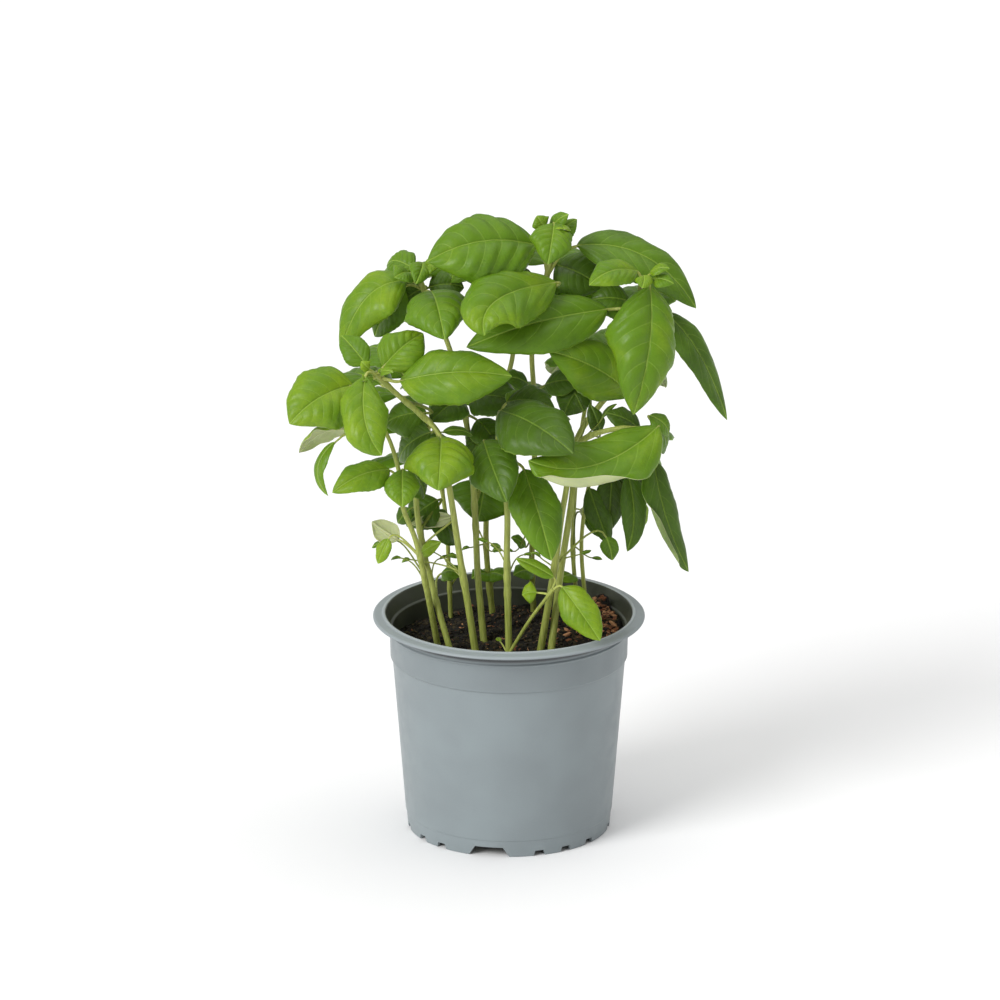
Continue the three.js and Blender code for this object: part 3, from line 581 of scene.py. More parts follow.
side = [(r - CLEAR, z) for r, z in reversed(INSIDE[-3:])]  # along the pot's wall, from its floor up
top_radius = side[-1][0]
circle_at = [(math.cos(a), math.sin(a)) for a in (math.tau * i / RING_POINTS for i in range(RING_POINTS))]
bed_points = [(0, 0, side[0][1])]
for radius, z in side[:-1]:
    bed_points += [(radius * c, radius * s, z) for c, s in circle_at]
for radius in (top_radius * i / TOP_RINGS for i in range(TOP_RINGS, 0, -1)):
    bed_points += [(radius * c, radius * s, soil_height(radius * c, radius * s)) for c, s in circle_at]
bed_points.append((0, 0, soil_height(0, 0)))

bed_faces = []
rings = (len(bed_points) - 2) // RING_POINTS
for j in range(RING_POINTS):
    k = (j + 1) % RING_POINTS
    bed_faces.append((0, 1 + k, 1 + j))
    for low in range(1, 1 + (rings - 1) * RING_POINTS, RING_POINTS):
        high = low + RING_POINTS
        bed_faces.append((low + j, low + k, high + k, high + j))
    last = 1 + (rings - 1) * RING_POINTS
    bed_faces.append((last + j, last + k, len(bed_points) - 1))
bed_mesh = bpy.data.meshes.new("soil_bed")
bed_mesh.from_pydata([Vector(p) * MM for p in bed_points], [], bed_faces)
bed_mesh.shade_smooth()
bed = bpy.data.objects.new("soil_bed", bed_mesh)
scene.collection.objects.link(bed)
print("soil bed:", len(bed_faces), "faces")

# %% [markdown]
# Potting soil is dark peat with crumbs, fibres and bits of bark in it. One finish serves the bed and
# everything strewn on it: it reads a number called shade, from 0, nearly black, to 1, light reddish bark,
# and adds fine noise to it. On the bed, which has no such number, shade reads as 0 and only the noise shows.

# %% Soil finish
CRUMBLE, CRUMBLE_HEIGHT = 0.9, 0.6  # waves to a millimetre, and millimetres

earth = Finish("potting_soil", Roughness=0.95)
crumble = earth.grain(earth.place(), CRUMBLE, 6.0, 0.65)
shade = earth.read("shade") + (crumble - 0.5) * 0.5
colour = earth.mix(earth.smooth(shade, 0.0, 0.5), rgb(22, 18, 12), rgb(66, 56, 34))
colour = earth.mix(earth.smooth(shade, 0.5, 0.75), colour, rgb(118, 72, 44))
colour = earth.mix(earth.smooth(shade, 0.85, 1.05), colour, rgb(186, 136, 96))
earth.feed("Base Color", colour)
earth.bump(crumble, 0.9, CRUMBLE_HEIGHT)
bed_mesh.materials.append(earth.material)
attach(bed, "root")
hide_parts("soil")
print("soil finish:", len(earth.group.nodes), "nodes")

# %% [markdown]
# Crumbs and fibres lie all over the bed, and chips of bark mostly on the heap. A particle system could strew
# them, but a node tree keeps its rules in sight. It strews points over the bed where a number called share
# is high, puts a small rough stone on each, stretches and turns it at random, and gives it a shade. There
# are thousands of them, so each has few faces.

# %% Strewing tree
LEVEL_ENOUGH = 0.5  # no bit lies where the ground's normal points up by less than this
DENTS, LEAST_RADIUS, RADIUS_RANGE = 1.7, 0.55, 0.9  # how fine a stone's dents are, and how far they go in
LEAST_STRETCH, MOST_STRETCH, TILT = 0.7, 1.2, 0.6  # TILT is in radians, either way

strewing = Maker("strewn_bits", Density=1e5, Seed=1, Facets=1, Smallest=0.3 * MM, Largest=1.0 * MM,
                 Long=1.3, Flat=0.6, Dark=0.0, Light=0.5, Finish=earth.material)


def chance(low, high, salt, kind="FLOAT"):
    """A random value for each bit, from the tree's own seed."""
    return strewing.add("FunctionNodeRandomValue", low, high, named={"Seed": strewing.given("Seed") + salt},
                        data_type=kind)


upward = strewing.sum("DOT_PRODUCT", strewing.add("GeometryNodeInputNormal"), (0, 0, 1))
upward = strewing.sum("GREATER_THAN", upward, LEVEL_ENOUGH)
spots = strewing.add("GeometryNodeDistributePointsOnFaces", strewing.given(), upward,
                     strewing.given("Density") * strewing.read("share"), strewing.given("Seed"))
spots = strewing.store(spots, "shade", chance(strewing.given("Dark"), strewing.given("Light"), 1))
stone = strewing.add("GeometryNodeMeshIcoSphere", 1.0, strewing.given("Facets"))
at = strewing.add("GeometryNodeInputPosition")
rough = strewing.add("ShaderNodeTexNoise", at, DENTS, 2.0)
stone = strewing.add("GeometryNodeSetPosition", stone, True, at * (LEAST_RADIUS + rough * RADIUS_RANGE))
grown = chance(strewing.given("Smallest"), strewing.given("Largest"), 2)
stretch = chance((LEAST_STRETCH,) * 3, (MOST_STRETCH,) * 3, 3, "FLOAT_VECTOR")
form = strewing.add("ShaderNodeCombineXYZ", strewing.given("Long"), 1.0, strewing.given("Flat"))
bits = strewing.add("GeometryNodeInstanceOnPoints", spots, None, stone, named={
    "Rotation": chance((-TILT, -TILT, 0.0), (TILT, TILT, math.tau), 4, "FLOAT_VECTOR"),
    "Scale": stretch * form * grown})
bits = strewing.add("GeometryNodeRealizeInstances", bits)
bits = strewing.add("GeometryNodeSetMaterial", bits, True, strewing.given("Finish"))
strewing.finish(bits)

# %% [markdown]
# Three runs of the one tree make crumbs, fibres and bark. They differ in their sizes, in how long and flat
# they are, and in the share that says where they lie. A margin keeps them off the pot's wall.

# %% Strew the bits
CRUMB_MARGIN, BARK_MARGIN = 2.5, 3.0  # from the bed's edge
STRAY = 0.003  # the share of bark that lies away from the heap


def strewn(name, share, **values):
    """Bits strewn over the bed, most where share is high."""
    ground = bed_mesh.copy()
    layer = ground.attributes.new("share", "FLOAT", "POINT")
    for item, vertex in zip(layer.data, ground.vertices):
        item.value = share(vertex.co.x / MM, vertex.co.y / MM)
    piece = strewing.run(name, ground, **values)
    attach(piece, "root")


def crumb_share(x, y):
    return 1.0 if math.hypot(x, y) < top_radius - CRUMB_MARGIN else 0.0


def bark_share(x, y):
    inside = 1.0 if math.hypot(x, y) < top_radius - BARK_MARGIN else 0.0
    return inside * (min(1.0, 1.4 * max(heap_shares(x, y))) + STRAY)


strewn("soil_crumbs", crumb_share, Density=4.5e5, Seed=11, Smallest=0.4 * MM, Largest=1.4 * MM, Dark=-0.25,
       Light=0.5)
strewn("soil_fibres", crumb_share, Density=6e4, Seed=3, Smallest=0.3 * MM, Largest=0.7 * MM, Long=3.2,
       Flat=0.5, Dark=0.5, Light=1.1)
strewn("bark_chips", bark_share, Density=3.4e5, Seed=5, Facets=2, Smallest=0.9 * MM, Largest=1.8 * MM,
       Long=1.8, Flat=0.55, Dark=0.45, Light=1.15)

# %% [markdown]
# ## Shoots
# Each shoot is a stem with its leaves, written down as one would note them from a picture. A stem is a few
# points, in millimetres to the right, to the back and up, and its radius at its foot and at its top. A leaf
# is one row of the numbers that the function below explains. Leaves strewn at random would take less work,
# but only noted ones lie where the picture shows them. The solids were made from the same notes. Small
# leaves, buds and twigs are added here alone, and a few leaves are moved by some millimetres.

# %% A leaf's row
SHOOTS = {}


# tone: young leaves are paler and yellower; beyond that a low tone is painted shade on leaves in shadow, and
# a high one partly painted light
def leaf(at, base, middle, tip, width, face, bend=0.4, tone=0.1, puckered=0.8, turned=0.0):
    """How far up the stem its stalk leaves, from 0 to 1, the blade's start, middle and tip along the midrib,
    its width, the way its upper face looks, the angle in radians that its sides bend down by, how light it
    is, from dark at -1 to pale at 1, how puckered it is, and the angle that an edge is folded over by, with a
    sign for the side.
    """
    base, middle, tip, face = (Vector(v) for v in (base, middle, tip, face))
    return dict(at=at, base=base, middle=middle, tip=tip, width=width, face=face.normalized(), bend=bend,
                tone=tone, puckered=puckered, turned=turned)


def twig(at, base, middle, tip, width, tone=-0.2):
    """A thin side shoot with hardly a blade."""
    return leaf(at, base, middle, tip, width, (0, -0.7, 0.7), 0.3, tone, 0.2)


def count_leaves():
    print("shoots so far:", len(SHOOTS), "leaves:", sum(len(shoot["leaves"]) for shoot in SHOOTS.values()))


# %% [markdown]
# The crown is the tallest shoot, and the top left one leans out beside it. They carry large bright leaves
# and, at the tip, a rosette of young ones, which open in pairs.

# %% Crown and top left shoots
SHOOTS["shoot_crown"] = dict(radius=(1.5, 1.1), stem=[
    (12, 46, 91), (11, 40, 117), (12, 30, 153), (12, 18, 207), (11, 12, 236), (17, 5, 268), (21, 3, 288),
], leaves=[
    # large: top left, top right, in front
    leaf(0.93, (13, 2, 288), (-13, -10, 294.2), (-39, -16, 285), 55, (-0.15, -0.6, 0.78), 1.15, 0.2, 1.3),
    leaf(0.922, (32, 5, 287), (64, 6, 282), (89, 4, 256), 33, (0.25, -0.45, 0.86), 0.55, -0.02),
    leaf(0.87, (22, -9, 273), (-6, -34, 272), (-12, -47, 258), 37, (-0.15, -0.75, 0.62), 0.5, 0.5, 1.1),
    # young crown: in front, back, right
    leaf(0.97, (21, -3, 300), (20, -13, 295), (18, -18, 284), 22, (0, -0.95, 0.3), 0.5, 0.3, 1.1),
    leaf(0.98, (19, 4, 294), (22, 1, 300), (28, 0, 303.7), 12, (-0.3, -0.6, 0.7), 0.5, 0.5, 1),
    leaf(0.972, (25, 6, 291), (27, 6, 296), (32, 8, 299), 12, (-0.5, -0.6, 0.6), 0.5, 0.5, 1),
    # behind: back, back left
    leaf(0.9, (18, 12, 276), (21, 37, 276), (24, 58, 262), 36, (0, 0.3, 0.95)),
    leaf(0.85, (10, 16, 262), (-4, 29, 269), (-18, 42, 262), 32, (-0.1, 0.1, 0.99)),
    # inner pair: right, left
    leaf(0.62, (17, 10, 217), (25, 4, 221), (35, 2, 221), 16, (0.1, -0.7, 0.7), 0.3, -0.7, 0.6),
    leaf(0.628, (9, 8, 218), (4, 4, 222), (-3, 2, 223), 11, (-0.1, -0.7, 0.7), 0.3, -0.5, 0.6),
    # low: at the back, small, at the rim
    leaf(0.5, (14, 26, 190), (15, 47, 193), (16, 66, 182), 30, (0, 0.4, 0.9), 0.4, -0.5),
    leaf(0.25, (8, 34, 128), (5, 32, 132), (1, 30, 134), 7, (0, -0.6, 0.8), 0.3, 0),
    leaf(0.14, (12, 36, 115), (7, 32, 117), (2, 30, 115), 12, (-0.1, -0.55, 0.8), 0.4, 0.2, 0.3),
    # more of the crown: left, in front
    leaf(0.985, (17, 0, 297), (15, -1, 300), (13, 0, 303), 10, (-0.1, -0.8, 0.55), 0.5, 0.6, 1),
    leaf(0.99, (23, -2, 298), (25, -6, 299), (26, -10, 299), 9, (0.3, -0.7, 0.6), 0.5, 0.8, 1),
    # behind on the right, and a twig
    leaf(0.9, (22, 14, 275), (33, 8, 273), (44, 8, 265), 31, (0.1, -0.7, 0.7), 0.4, -0.6, 0.6),
    twig(0.3, (2, 28, 128), (0, 27, 129), (-2, 28, 129), 2),
])
SHOOTS["shoot_top_left"] = dict(radius=(1.7, 1.1), stem=[
    (-12, 2, 91), (-15, 5, 126), (-16, 8, 150), (-19, 12, 189), (-28, 14, 233), (-40, 14, 262),
    (-45, 14, 275),
], leaves=[
    # at the tip: drooping left, hanging left, upper left, small
    leaf(0.95, (-48, 8, 269), (-67, 2, 263), (-80, 0, 236), 31, (-0.35, -0.55, 0.75), 0.5, 0.55, 0.6),
    leaf(0.93, (-50, 16, 263), (-59, 17, 250), (-64, 24, 236), 20, (-0.3, -0.8, 0.5), 0.4, -0.1, 0.7),
    leaf(0.98, (-45, 17, 272), (-53, 21, 275), (-58, 28, 271), 18, (-0.2, -0.6, 0.75), 0.4, 0.3, 0.9),
    leaf(0.99, (-41, 8, 278), (-41, 0, 277), (-44, -6, 271), 12, (0.2, -0.9, 0.4), 0.4, 0.6, 1),
    # round it: front, back, right at the back
    leaf(0.922, (-37, 4, 265), (-34, -18, 266), (-30, -34, 252), 37, (0, -0.65, 0.75), 0.85, 0.35, 0.9),
    leaf(0.942, (-42, 22, 268), (-44, 45, 267), (-46, 64, 252), 34, (0, 0.35, 0.93)),
    leaf(0.914, (-28, 24, 263), (-22, 31, 272), (-14, 40, 269), 26, (0.1, 0.1, 0.99)),
    # lower: left, right, low down, at the back, under the crown's large leaf
    leaf(0.6, (-22, 8, 209), (-29, -1, 210), (-37, -8, 204), 22, (-0.1, -0.5, 0.85), 0.3, -0.6),
    leaf(0.608, (-15, 12, 199), (-9, 6, 194), (-4, 4, 185), 18, (0.2, -0.7, 0.7), 0.3, -0.6),
    leaf(0.38, (-11, 24, 166), (-13, 18, 156), (-15, 20, 145), 34, (0, -0.8, 0.55), 0.3, -0.15),
    leaf(0.68, (-26, 24, 216), (-29, 43, 217), (-30, 58, 204), 28, (-0.1, 0.4, 0.9)),
    leaf(0.66, (-18, 6, 212), (-7, -3, 216), (7, -8, 213), 26, (0.05, -0.55, 0.83), 0.4, -0.8, 0.7),
    twig(0.33, (-8, 4, 136), (-6, 3, 137), (-3, 4, 136), 3, 0.1),
    # rosette: right, left
    leaf(0.985, (-40, 6, 276), (-37, 3, 278), (-33, 2, 277), 12, (0.2, -0.7, 0.6), 0.4, 0.6, 1),
    leaf(0.975, (-47, 8, 273), (-50, 4, 274), (-54, 2, 272), 13, (-0.2, -0.7, 0.6), 0.4, 0.5, 1),
    # behind the fork: left, right
    leaf(0.94, (-40, 20, 262), (-47, 17, 259), (-53, 18, 252), 24, (-0.1, -0.7, 0.7), 0.4, -0.8, 0.5),
    leaf(0.93, (-38, 24, 261), (-29, 23, 263), (-21, 26, 260), 20, (0.1, -0.7, 0.7), 0.4, -0.8, 0.5),
])
count_leaves()

# %% [markdown]
# The shoots of the left side lean outwards and their leaves hang lower. Down between the stems are seed
# leaves and thin bare twigs, because nursery basil is a bunch of seedlings that have grown up together.

# %% Left shoots
SHOOTS["shoot_left"] = dict(radius=(1.75, 1.2), stem=[
    (-16, -18, 93), (-19, -19, 114), (-23, -22, 140), (-28, -28, 177), (-33, -30, 205), (-43, -30, 216),
    (-53, -30, 225), (-63, -30, 235),
], leaves=[
    # at the end: left, hanging, at the tip, large to the right, small at the back
    leaf(0.98, (-73, -30, 229), (-89, -40, 226), (-103, -44, 214), 36, (-0.25, -0.88, 0.4), 0.6, 0.65),
    leaf(0.972, (-67, -42, 237), (-67, -60, 221), (-59, -68, 206), 25, (0, -0.88, 0.48), 0.65, 0.65, 0.7),
    leaf(0.964, (-59, -30, 238), (-50, -27, 247), (-40, -18, 251), 24, (-0.2, -0.75, 0.62), 0.35, 0.75, 1.8),
    leaf(0.97, (-51, -36, 233), (-25, -44, 240), (2, -42, 237), 34, (0, -0.7, 0.7), 0.7, 0.5, 0.9),
    leaf(0.956, (-67, -24, 237), (-73, -20, 244), (-79, -12, 248), 14, (-0.2, -0.65, 0.72), 0.3, 0.3, 0.7),
    # buds
    leaf(1, (-65, -34, 238), (-67, -35, 240), (-69, -34, 242), 6, (-0.3, -0.7, 0.6), 0.3, 0.9, 1),
    leaf(0.992, (-60, -36, 237), (-58, -39, 239), (-54, -42, 239), 6, (0.3, -0.7, 0.6), 0.3, 0.8, 1),
    leaf(0.984, (-64, -36, 235), (-66, -41, 236), (-68, -46, 236), 6, (0, -0.8, 0.6), 0.3, 0.8, 1),
    # where it bends: in front, left, small, young, back left
    leaf(0.8, (-32, -37, 206), (-32, -55, 203), (-33, -68, 189), 42, (0, -0.72, 0.68), 1.05, 0.82),
    leaf(0.808, (-37, -24, 204), (-48, -21, 197), (-52, -14, 186), 22, (-0.3, -0.6, 0.7), 0.4, -0.5, 0.7),
    leaf(0.87, (-39, -12, 210), (-50, -12, 209), (-59, -8, 203), 24, (-0.1, -0.6, 0.8), 0.3, -0.35, 0.7),
    leaf(0.81, (-31, -26, 205), (-23, -24, 205), (-17, -20, 201), 6, (0.1, -0.6, 0.8), 0.3, 0),
    leaf(0.95, (-60, -18, 226), (-74, 1, 226), (-86, 18, 214), 30, (-0.4, 0.4, 0.8)),
    # twigs low down
    twig(0.3, (-47, -14, 138), (-49, -15, 138), (-51, -14, 136), 2.5, 0.1),
    twig(0.27, (-29, -12, 139), (-26, -12, 139), (-24, -10, 137), 3, 0.1),
    twig(0.29, (-35, -16, 142), (-37, -16, 143), (-39, -14, 143), 2),
])
SHOOTS["shoot_low_left"] = dict(radius=(1.6, 0.9), stem=[
    (-34, -6, 92), (-39, -18, 124), (-44, -26, 151), (-50, -32, 170), (-52, -36, 190), (-58, -36, 208),
    (-67, -34, 218),
], leaves=[
    # at the end: turned over, edge on
    leaf(0.98, (-76, -30, 208), (-89, -27, 205), (-99, -28, 195), 25, (-0.2, 0.5, 0.84), 0.3, 0.9, 0.6),
    leaf(0.97, (-82, -36, 203), (-90, -40, 191), (-85, -42, 178), 11, (-0.85, -0.4, 0.3), 0.3, 0.35, 0.5),
    # lower: left, hanging, hanging right
    leaf(0.72, (-56, -38, 190), (-69, -48, 191), (-83, -52, 183), 19, (-0.1, -0.65, 0.75), 0.4, 0.55, 0.5),
    leaf(0.71, (-50, -41, 191), (-50, -51, 186), (-50, -56, 177), 18, (0, -0.8, 0.6), 0.4, 0.45, 0.6),
    leaf(0.718, (-47, -30, 188), (-41, -27, 179), (-40, -20, 170), 14, (0.3, -0.7, 0.6), 0.3, -0.6, 0.5),
    # seed leaves, pale and green, and twigs
    leaf(0.42, (-52, -22, 150), (-59, -18, 153), (-65, -18, 158), 12, (0.1, 0.7, -0.5), 0.3, 1.3, 0.2),
    leaf(0.428, (-57, -26, 152), (-60, -28, 146), (-62, -28, 140), 8, (-0.3, -0.8, 0.5), 0.3, 0.9, 0.3),
    twig(0.36, (-59, -20, 149), (-63, -20, 147), (-65, -18, 145), 3, -0.3),
    twig(0.33, (-51, -24, 142), (-54, -24, 142), (-56, -22, 140), 2),
    # buds: left, right
    leaf(1, (-68.6, -34.8, 219.3), (-70, -37, 221), (-72, -38, 222.5), 6, (0, -0.7, 0.7), 0.3, 0.5, 0.5),
    leaf(1, (-67.2, -33.2, 219.3), (-67, -31, 222), (-64.5, -29.5, 222.5), 6, (0, 0.5, 0.85), 0.3, 0.5, 0.5),
])
SHOOTS["shoot_middle_left"] = dict(radius=(1.5, 1.3), stem=[
    (-28, -16, 93), (-36, -10, 121), (-41, -6, 142), (-44, -6, 165), (-42, -8, 185), (-38, -6, 202),
], leaves=[
    # lower: right, small on the left, a bract on the right
    leaf(0.5, (-38, 2, 154), (-28, 5, 147), (-25, 12, 137), 18, (0.1, -0.6, 0.8), 0.3, -0.9, 0.6),
    leaf(0.508, (-47, -2, 159), (-51, -2, 155), (-53, 0, 151), 9, (-0.2, -0.8, 0.6), 0.3, -0.5, 0.4),
    leaf(0.38, (-42, -12, 140), (-38, -15, 144), (-32, -16, 147), 8, (0, -0.7, 0.7), 0.3, 1, 0.3),
    # upper: back left, back
    leaf(0.9, (-48, 4, 196), (-67, 16, 198), (-84, 24, 186), 32, (-0.2, 0.3, 0.93)),
    leaf(0.908, (-38, 2, 190), (-40, 17, 191), (-43, 28, 180), 24, (0, 0.4, 0.9)),
    # on the left: dark, pale; at the rim; a twig
    leaf(0.56, (-34, 6, 161), (-43, 3, 156), (-49, 4, 148), 22, (-0.2, -0.6, 0.75), 0.4, -0.9, 0.6),
    leaf(0.5, (-27, 0, 154), (-37, 0, 152), (-47, -4, 152), 8, (0.1, 0.7, -0.5), 0.3, 1, 0.3),
    leaf(0.27, (-32, 8, 124), (-27, 4, 126), (-22, 2, 124), 12, (0.1, -0.55, 0.8), 0.4, 0.2, 0.3),
    twig(0.36, (-33, -10, 137), (-30, -10, 138), (-28, -8, 138), 2),
    # buds: left, right
    leaf(1, (-39, -6.8, 202.8), (-40, -9, 205), (-42.5, -10, 206.5), 7, (0, -0.7, 0.7), 0.3, -0.2, 0.5),
    leaf(1, (-37.8, -5.2, 202.8), (-37, -3, 205), (-35, -1.5, 206.5), 7, (0, 0.5, 0.85), 0.3, -0.2, 0.5),
])
count_leaves()

# %% [markdown]
# On the right and in front are the longest leaves. Two of them have a turned edge. Dark leaves behind them
# close the view into the plant. Their low tone is painted shade, as the shaded leaves of a real plant look
# dark.

# %% Right and front shoots
SHOOTS["shoot_right"] = dict(radius=(1.8, 1.1), stem=[
    (20, -16, 92), (24, -10, 126), (30, -5, 167), (32, -2, 193), (43, 0, 210), (55, -2, 225), (60, -8, 254),
    (62, -13, 275),
], leaves=[
    # at the tip: in front, small, two buds
    leaf(0.99, (66, -15, 273), (66, -33, 249), (58, -38, 216), 46, (0.4, -0.85, 0.25), 1.25, 0.42, 1.2),
    leaf(1, (60, -14, 280), (48, -23, 283), (37, -28, 277), 18, (-0.15, -0.65, 0.75), 0.4, 0.55, 1),
    leaf(0.992, (66, -16, 280), (70, -19, 283), (75, -20, 283), 8, (0.2, -0.5, 0.8), 0.3, 0.7, 1),
    leaf(0.984, (67, -17, 277), (72, -21, 278), (77, -22, 276), 9, (0.2, -0.7, 0.6), 0.3, 0.5, 1),
    # below: drooping right, large to the left, lower left
    leaf(0.95, (74, 6, 253), (90, 6, 234), (104, 12, 198), 20, (0.6, -0.6, 0.5), 0.4, -0.4, 0.6),
    leaf(0.92, (46, -6, 259), (13, -20, 257), (-21, -26, 246), 32, (-0.1, -0.72, 0.68), 0.5, 0.12, 0.5),
    leaf(0.78, (58, -6, 216), (41, -16, 233), (18, -24, 244), 29, (-0.25, -0.8, 0.5), 0.4, 0.42, 0.6),
    # behind: back, back left, lower
    leaf(0.96, (62, 6, 258), (68, 30, 259), (72, 50, 246), 32, (0.1, 0.35, 0.93)),
    leaf(0.94, (49, 14, 258), (39, 27, 263), (29, 40, 257), 28, (-0.1, 0, 0.99)),
    leaf(0.76, (58, 12, 218), (63, 30, 228), (66, 50, 226), 30, (0.2, 0.3, 0.9)),
    # rosette in front, behind at the upper left, dark by the fork
    leaf(0.985, (63, -18, 279), (63, -22, 278), (62, -26, 275), 9, (0, -0.8, 0.5), 0.4, 0.8, 1),
    leaf(0.93, (57, 4, 260), (48, 0, 263), (38, 2, 261), 22, (-0.1, -0.7, 0.7), 0.4, -0.6, 0.5),
    leaf(0.62, (35, 4, 219), (29, 0, 213), (26, 0, 204), 20, (-0.2, -0.7, 0.7), 0.4, -1, 0.6),
])
SHOOTS["shoot_right_front"] = dict(radius=(1.8, 1.1), stem=[
    (15, -14, 92), (22, -20, 139), (26, -24, 170), (33, -26, 199), (47, -27, 206), (69, -28, 207),
], leaves=[
    # with a turned edge: large to the left, drooping right
    leaf(0.99, (70, -30, 209), (39, -52, 197), (8, -56, 200), 36, (-0.05, -0.68, 0.73), 0.5, 0.42, 0.7,
         turned=-2.75),
    leaf(0.98, (68, -30, 192), (74, -36, 166), (85, -30, 136), 19, (0.45, -0.75, 0.45), 0.4, -0.75, 0.5,
         turned=2.75),
    # curled pair at the end, and one at the back
    leaf(0.982, (69, -22, 207), (74, -19, 199), (73, -14, 190), 15, (0.85, -0.4, 0.3), 0.4, 0, 1),
    leaf(1, (66, -26, 213), (73, -27, 209), (75, -24, 202), 12, (0.5, -0.6, 0.6), 0.4, 0.1, 1),
    leaf(0.97, (66, -14, 199), (66, 8, 196), (64, 26, 184), 26, (0.1, 0.3, 0.9)),
    # seed leaf
    leaf(0.35, (46, -15, 149), (48, -15, 143), (49, -14, 137), 9, (0, -0.8, 0.5), 0.3, 0.05, 0.2),
    # side shoots: up, right
    leaf(0.7, (35, -10, 210), (33, -9, 214), (31, -7, 218), 2.6, (0, -0.7, 0.7), 0.3, -1, 0.3),
    leaf(0.78, (44, -14, 208), (47, -13, 212), (51, -11, 214), 2.6, (0.2, -0.7, 0.7), 0.3, -1, 0.3),
    # behind the large leaf
    leaf(0.9, (62, -18, 203), (55, -22, 210), (45, -22, 213), 16, (0, -0.6, 0.8), 0.4, -0.9, 0.5),
    # twigs: right, left
    twig(0.36, (34, -18, 142), (37, -18, 143), (39, -16, 143), 2.2),
    twig(0.34, (15, -20, 141), (13, -21, 143), (10, -20, 143), 2),
    # dark, by the large leaf
    leaf(0.8, (43, -12, 200), (41, -12, 207), (38, -8, 213), 9, (0.1, -0.7, 0.7), 0.4, -0.9, 0.5),
])
SHOOTS["shoot_front"] = dict(radius=(1.7, 1.3), stem=[
    (0, -18, 93), (-1, -20, 139), (-1, -22, 167), (-5, -24, 200), (-4, -22, 212),
], leaves=[
    # right, lower left, hanging right, young at the top, behind on the right
    leaf(0.98, (-4, -28, 216), (12, -49, 216), (30, -64, 206), 36, (0.1, -0.72, 0.68), 0.5, -0.75, 0.7),
    leaf(0.85, (-12, -28, 201), (-8, -46, 194), (-1, -58, 180), 27, (-0.35, -0.6, 0.72), 0.4, -0.55),
    leaf(0.83, (7, -28, 187), (14, -41, 169), (20, -46, 147), 25, (0.1, -0.88, 0.45), 0.4, 0.15, 0.6),
    leaf(1, (-1, -18, 217), (5, -14, 219), (10, -8, 217), 12, (0, -0.5, 0.85), 0.3, 0.7),
    leaf(0.96, (-1, -18, 217), (10, -23, 220), (22, -24, 215), 25, (0.1, -0.5, 0.86), 0.4, -0.8, 0.7),
    twig(0.3, (-4, -16, 144), (-7, -14, 145), (-9, -12, 144), 3, 0.2),
    # a curl on the soil
    leaf(0.03, (-4, -10, 95.5), (-5, -7, 96), (-5, -4, 95), 3.5, (0, -0.3, 0.95), 0.9, 0.9, 0.3),
    # twigs: right, left
    twig(0.36, (7, -16, 141), (10, -16, 141), (11, -14, 139), 2),
    twig(0.41, (-10, -18, 148), (-13, -18, 149), (-15, -16, 149), 2.2, 0.3),
])
count_leaves()

# %% [markdown]
# The shoots at the back are hardly seen from the front, so their leaves are set as basil sets them, in pairs
# with bare stem between one pair and the next. They keep the plant full from every side.

# %% Back shoots
SHOOTS["shoot_back_left"] = dict(radius=(1.1, 1), stem=[
    (-28, 34, 92), (-29, 28, 123), (-30, 26, 144), (-36, 34, 178), (-45, 40, 204),
], leaves=[
    # upper: left, back, top
    leaf(0.98, (-52, 38, 203), (-71, 44, 202), (-86, 48, 188), 35, (-0.3, 0.2, 0.93), 0.4, 0),
    leaf(0.972, (-43, 47, 204), (-39, 62, 202), (-36, 72, 190), 28, (0.1, 0.5, 0.86)),
    leaf(0.99, (-50, 44, 210), (-58, 53, 220), (-68, 66, 219), 28, (-0.2, 0.1, 0.97), 0.4, 0),
    # lower: left, right
    leaf(0.62, (-42, 36, 172), (-61, 46, 169), (-76, 52, 156), 33, (-0.3, 0.3, 0.9), 0.4, 0),
    leaf(0.628, (-30, 38, 172), (-21, 54, 172), (-12, 66, 160), 28, (0.1, 0.5, 0.86), 0.4, 0),
    # seed leaf
    leaf(0.2, (-24, 33, 117), (-29, 39, 113), (-33, 44, 108), 9, (0, -0.5, 0.85), 0.3, 0),
])
SHOOTS["shoot_back_middle"] = dict(radius=(1.5, 1.1), stem=[
    (-8, 42, 92), (-11, 32, 132), (-9, 26, 169), (-2, 22, 211), (2, 20, 231), (0, 24, 255),
], leaves=[
    # upper: left, right
    leaf(0.98, (-8, 26, 250), (-24, 36, 250), (-36, 44, 238), 30, (-0.2, 0.2, 0.95), 0.4, 0),
    leaf(0.972, (8, 34, 252), (11, 55, 252), (12, 72, 238), 34, (0.1, 0.4, 0.9), 0.4, 0),
    # lower: left, right
    leaf(0.66, (-10, 34, 200), (-12, 54, 201), (-12, 70, 190), 30, (-0.1, 0.4, 0.9), 0.4, 0),
    leaf(0.62, (0, 34, 202), (11, 45, 206), (22, 56, 199), 28, (0.1, 0.1, 0.98), 0.4, 0),
    # seed leaf
    leaf(0.12, (-8, 42, 111), (-11, 45, 112), (-14, 48, 111), 7, (0, -0.5, 0.85), 0.3, 0),
    # dark, on the left
    leaf(0.6, (-7, 10, 194), (-14, 4, 191), (-19, 2, 183), 22, (-0.3, -0.6, 0.7), 0.4, -1.1, 0.6),
    # at the rim: left, right, and a twig
    leaf(0.14, (-10, 36, 114), (-13, 31, 116), (-18, 28, 114), 12, (-0.1, -0.55, 0.8), 0.4, 0.2, 0.3),
    leaf(0.13, (-10, 36, 114), (-6, 31, 116), (-1, 28, 114), 12, (0.1, -0.55, 0.8), 0.4, 0.2, 0.3),
    twig(0.27, (-19, 28, 130), (-21, 27, 130), (-23, 28, 128), 2),
    # bud
    leaf(1, (-0.5, 24.5, 255.4), (0, 26, 258), (-1.5, 28, 259.5), 7, (0, 0.6, 0.8), 0.3, 0.3, 0.5),
])
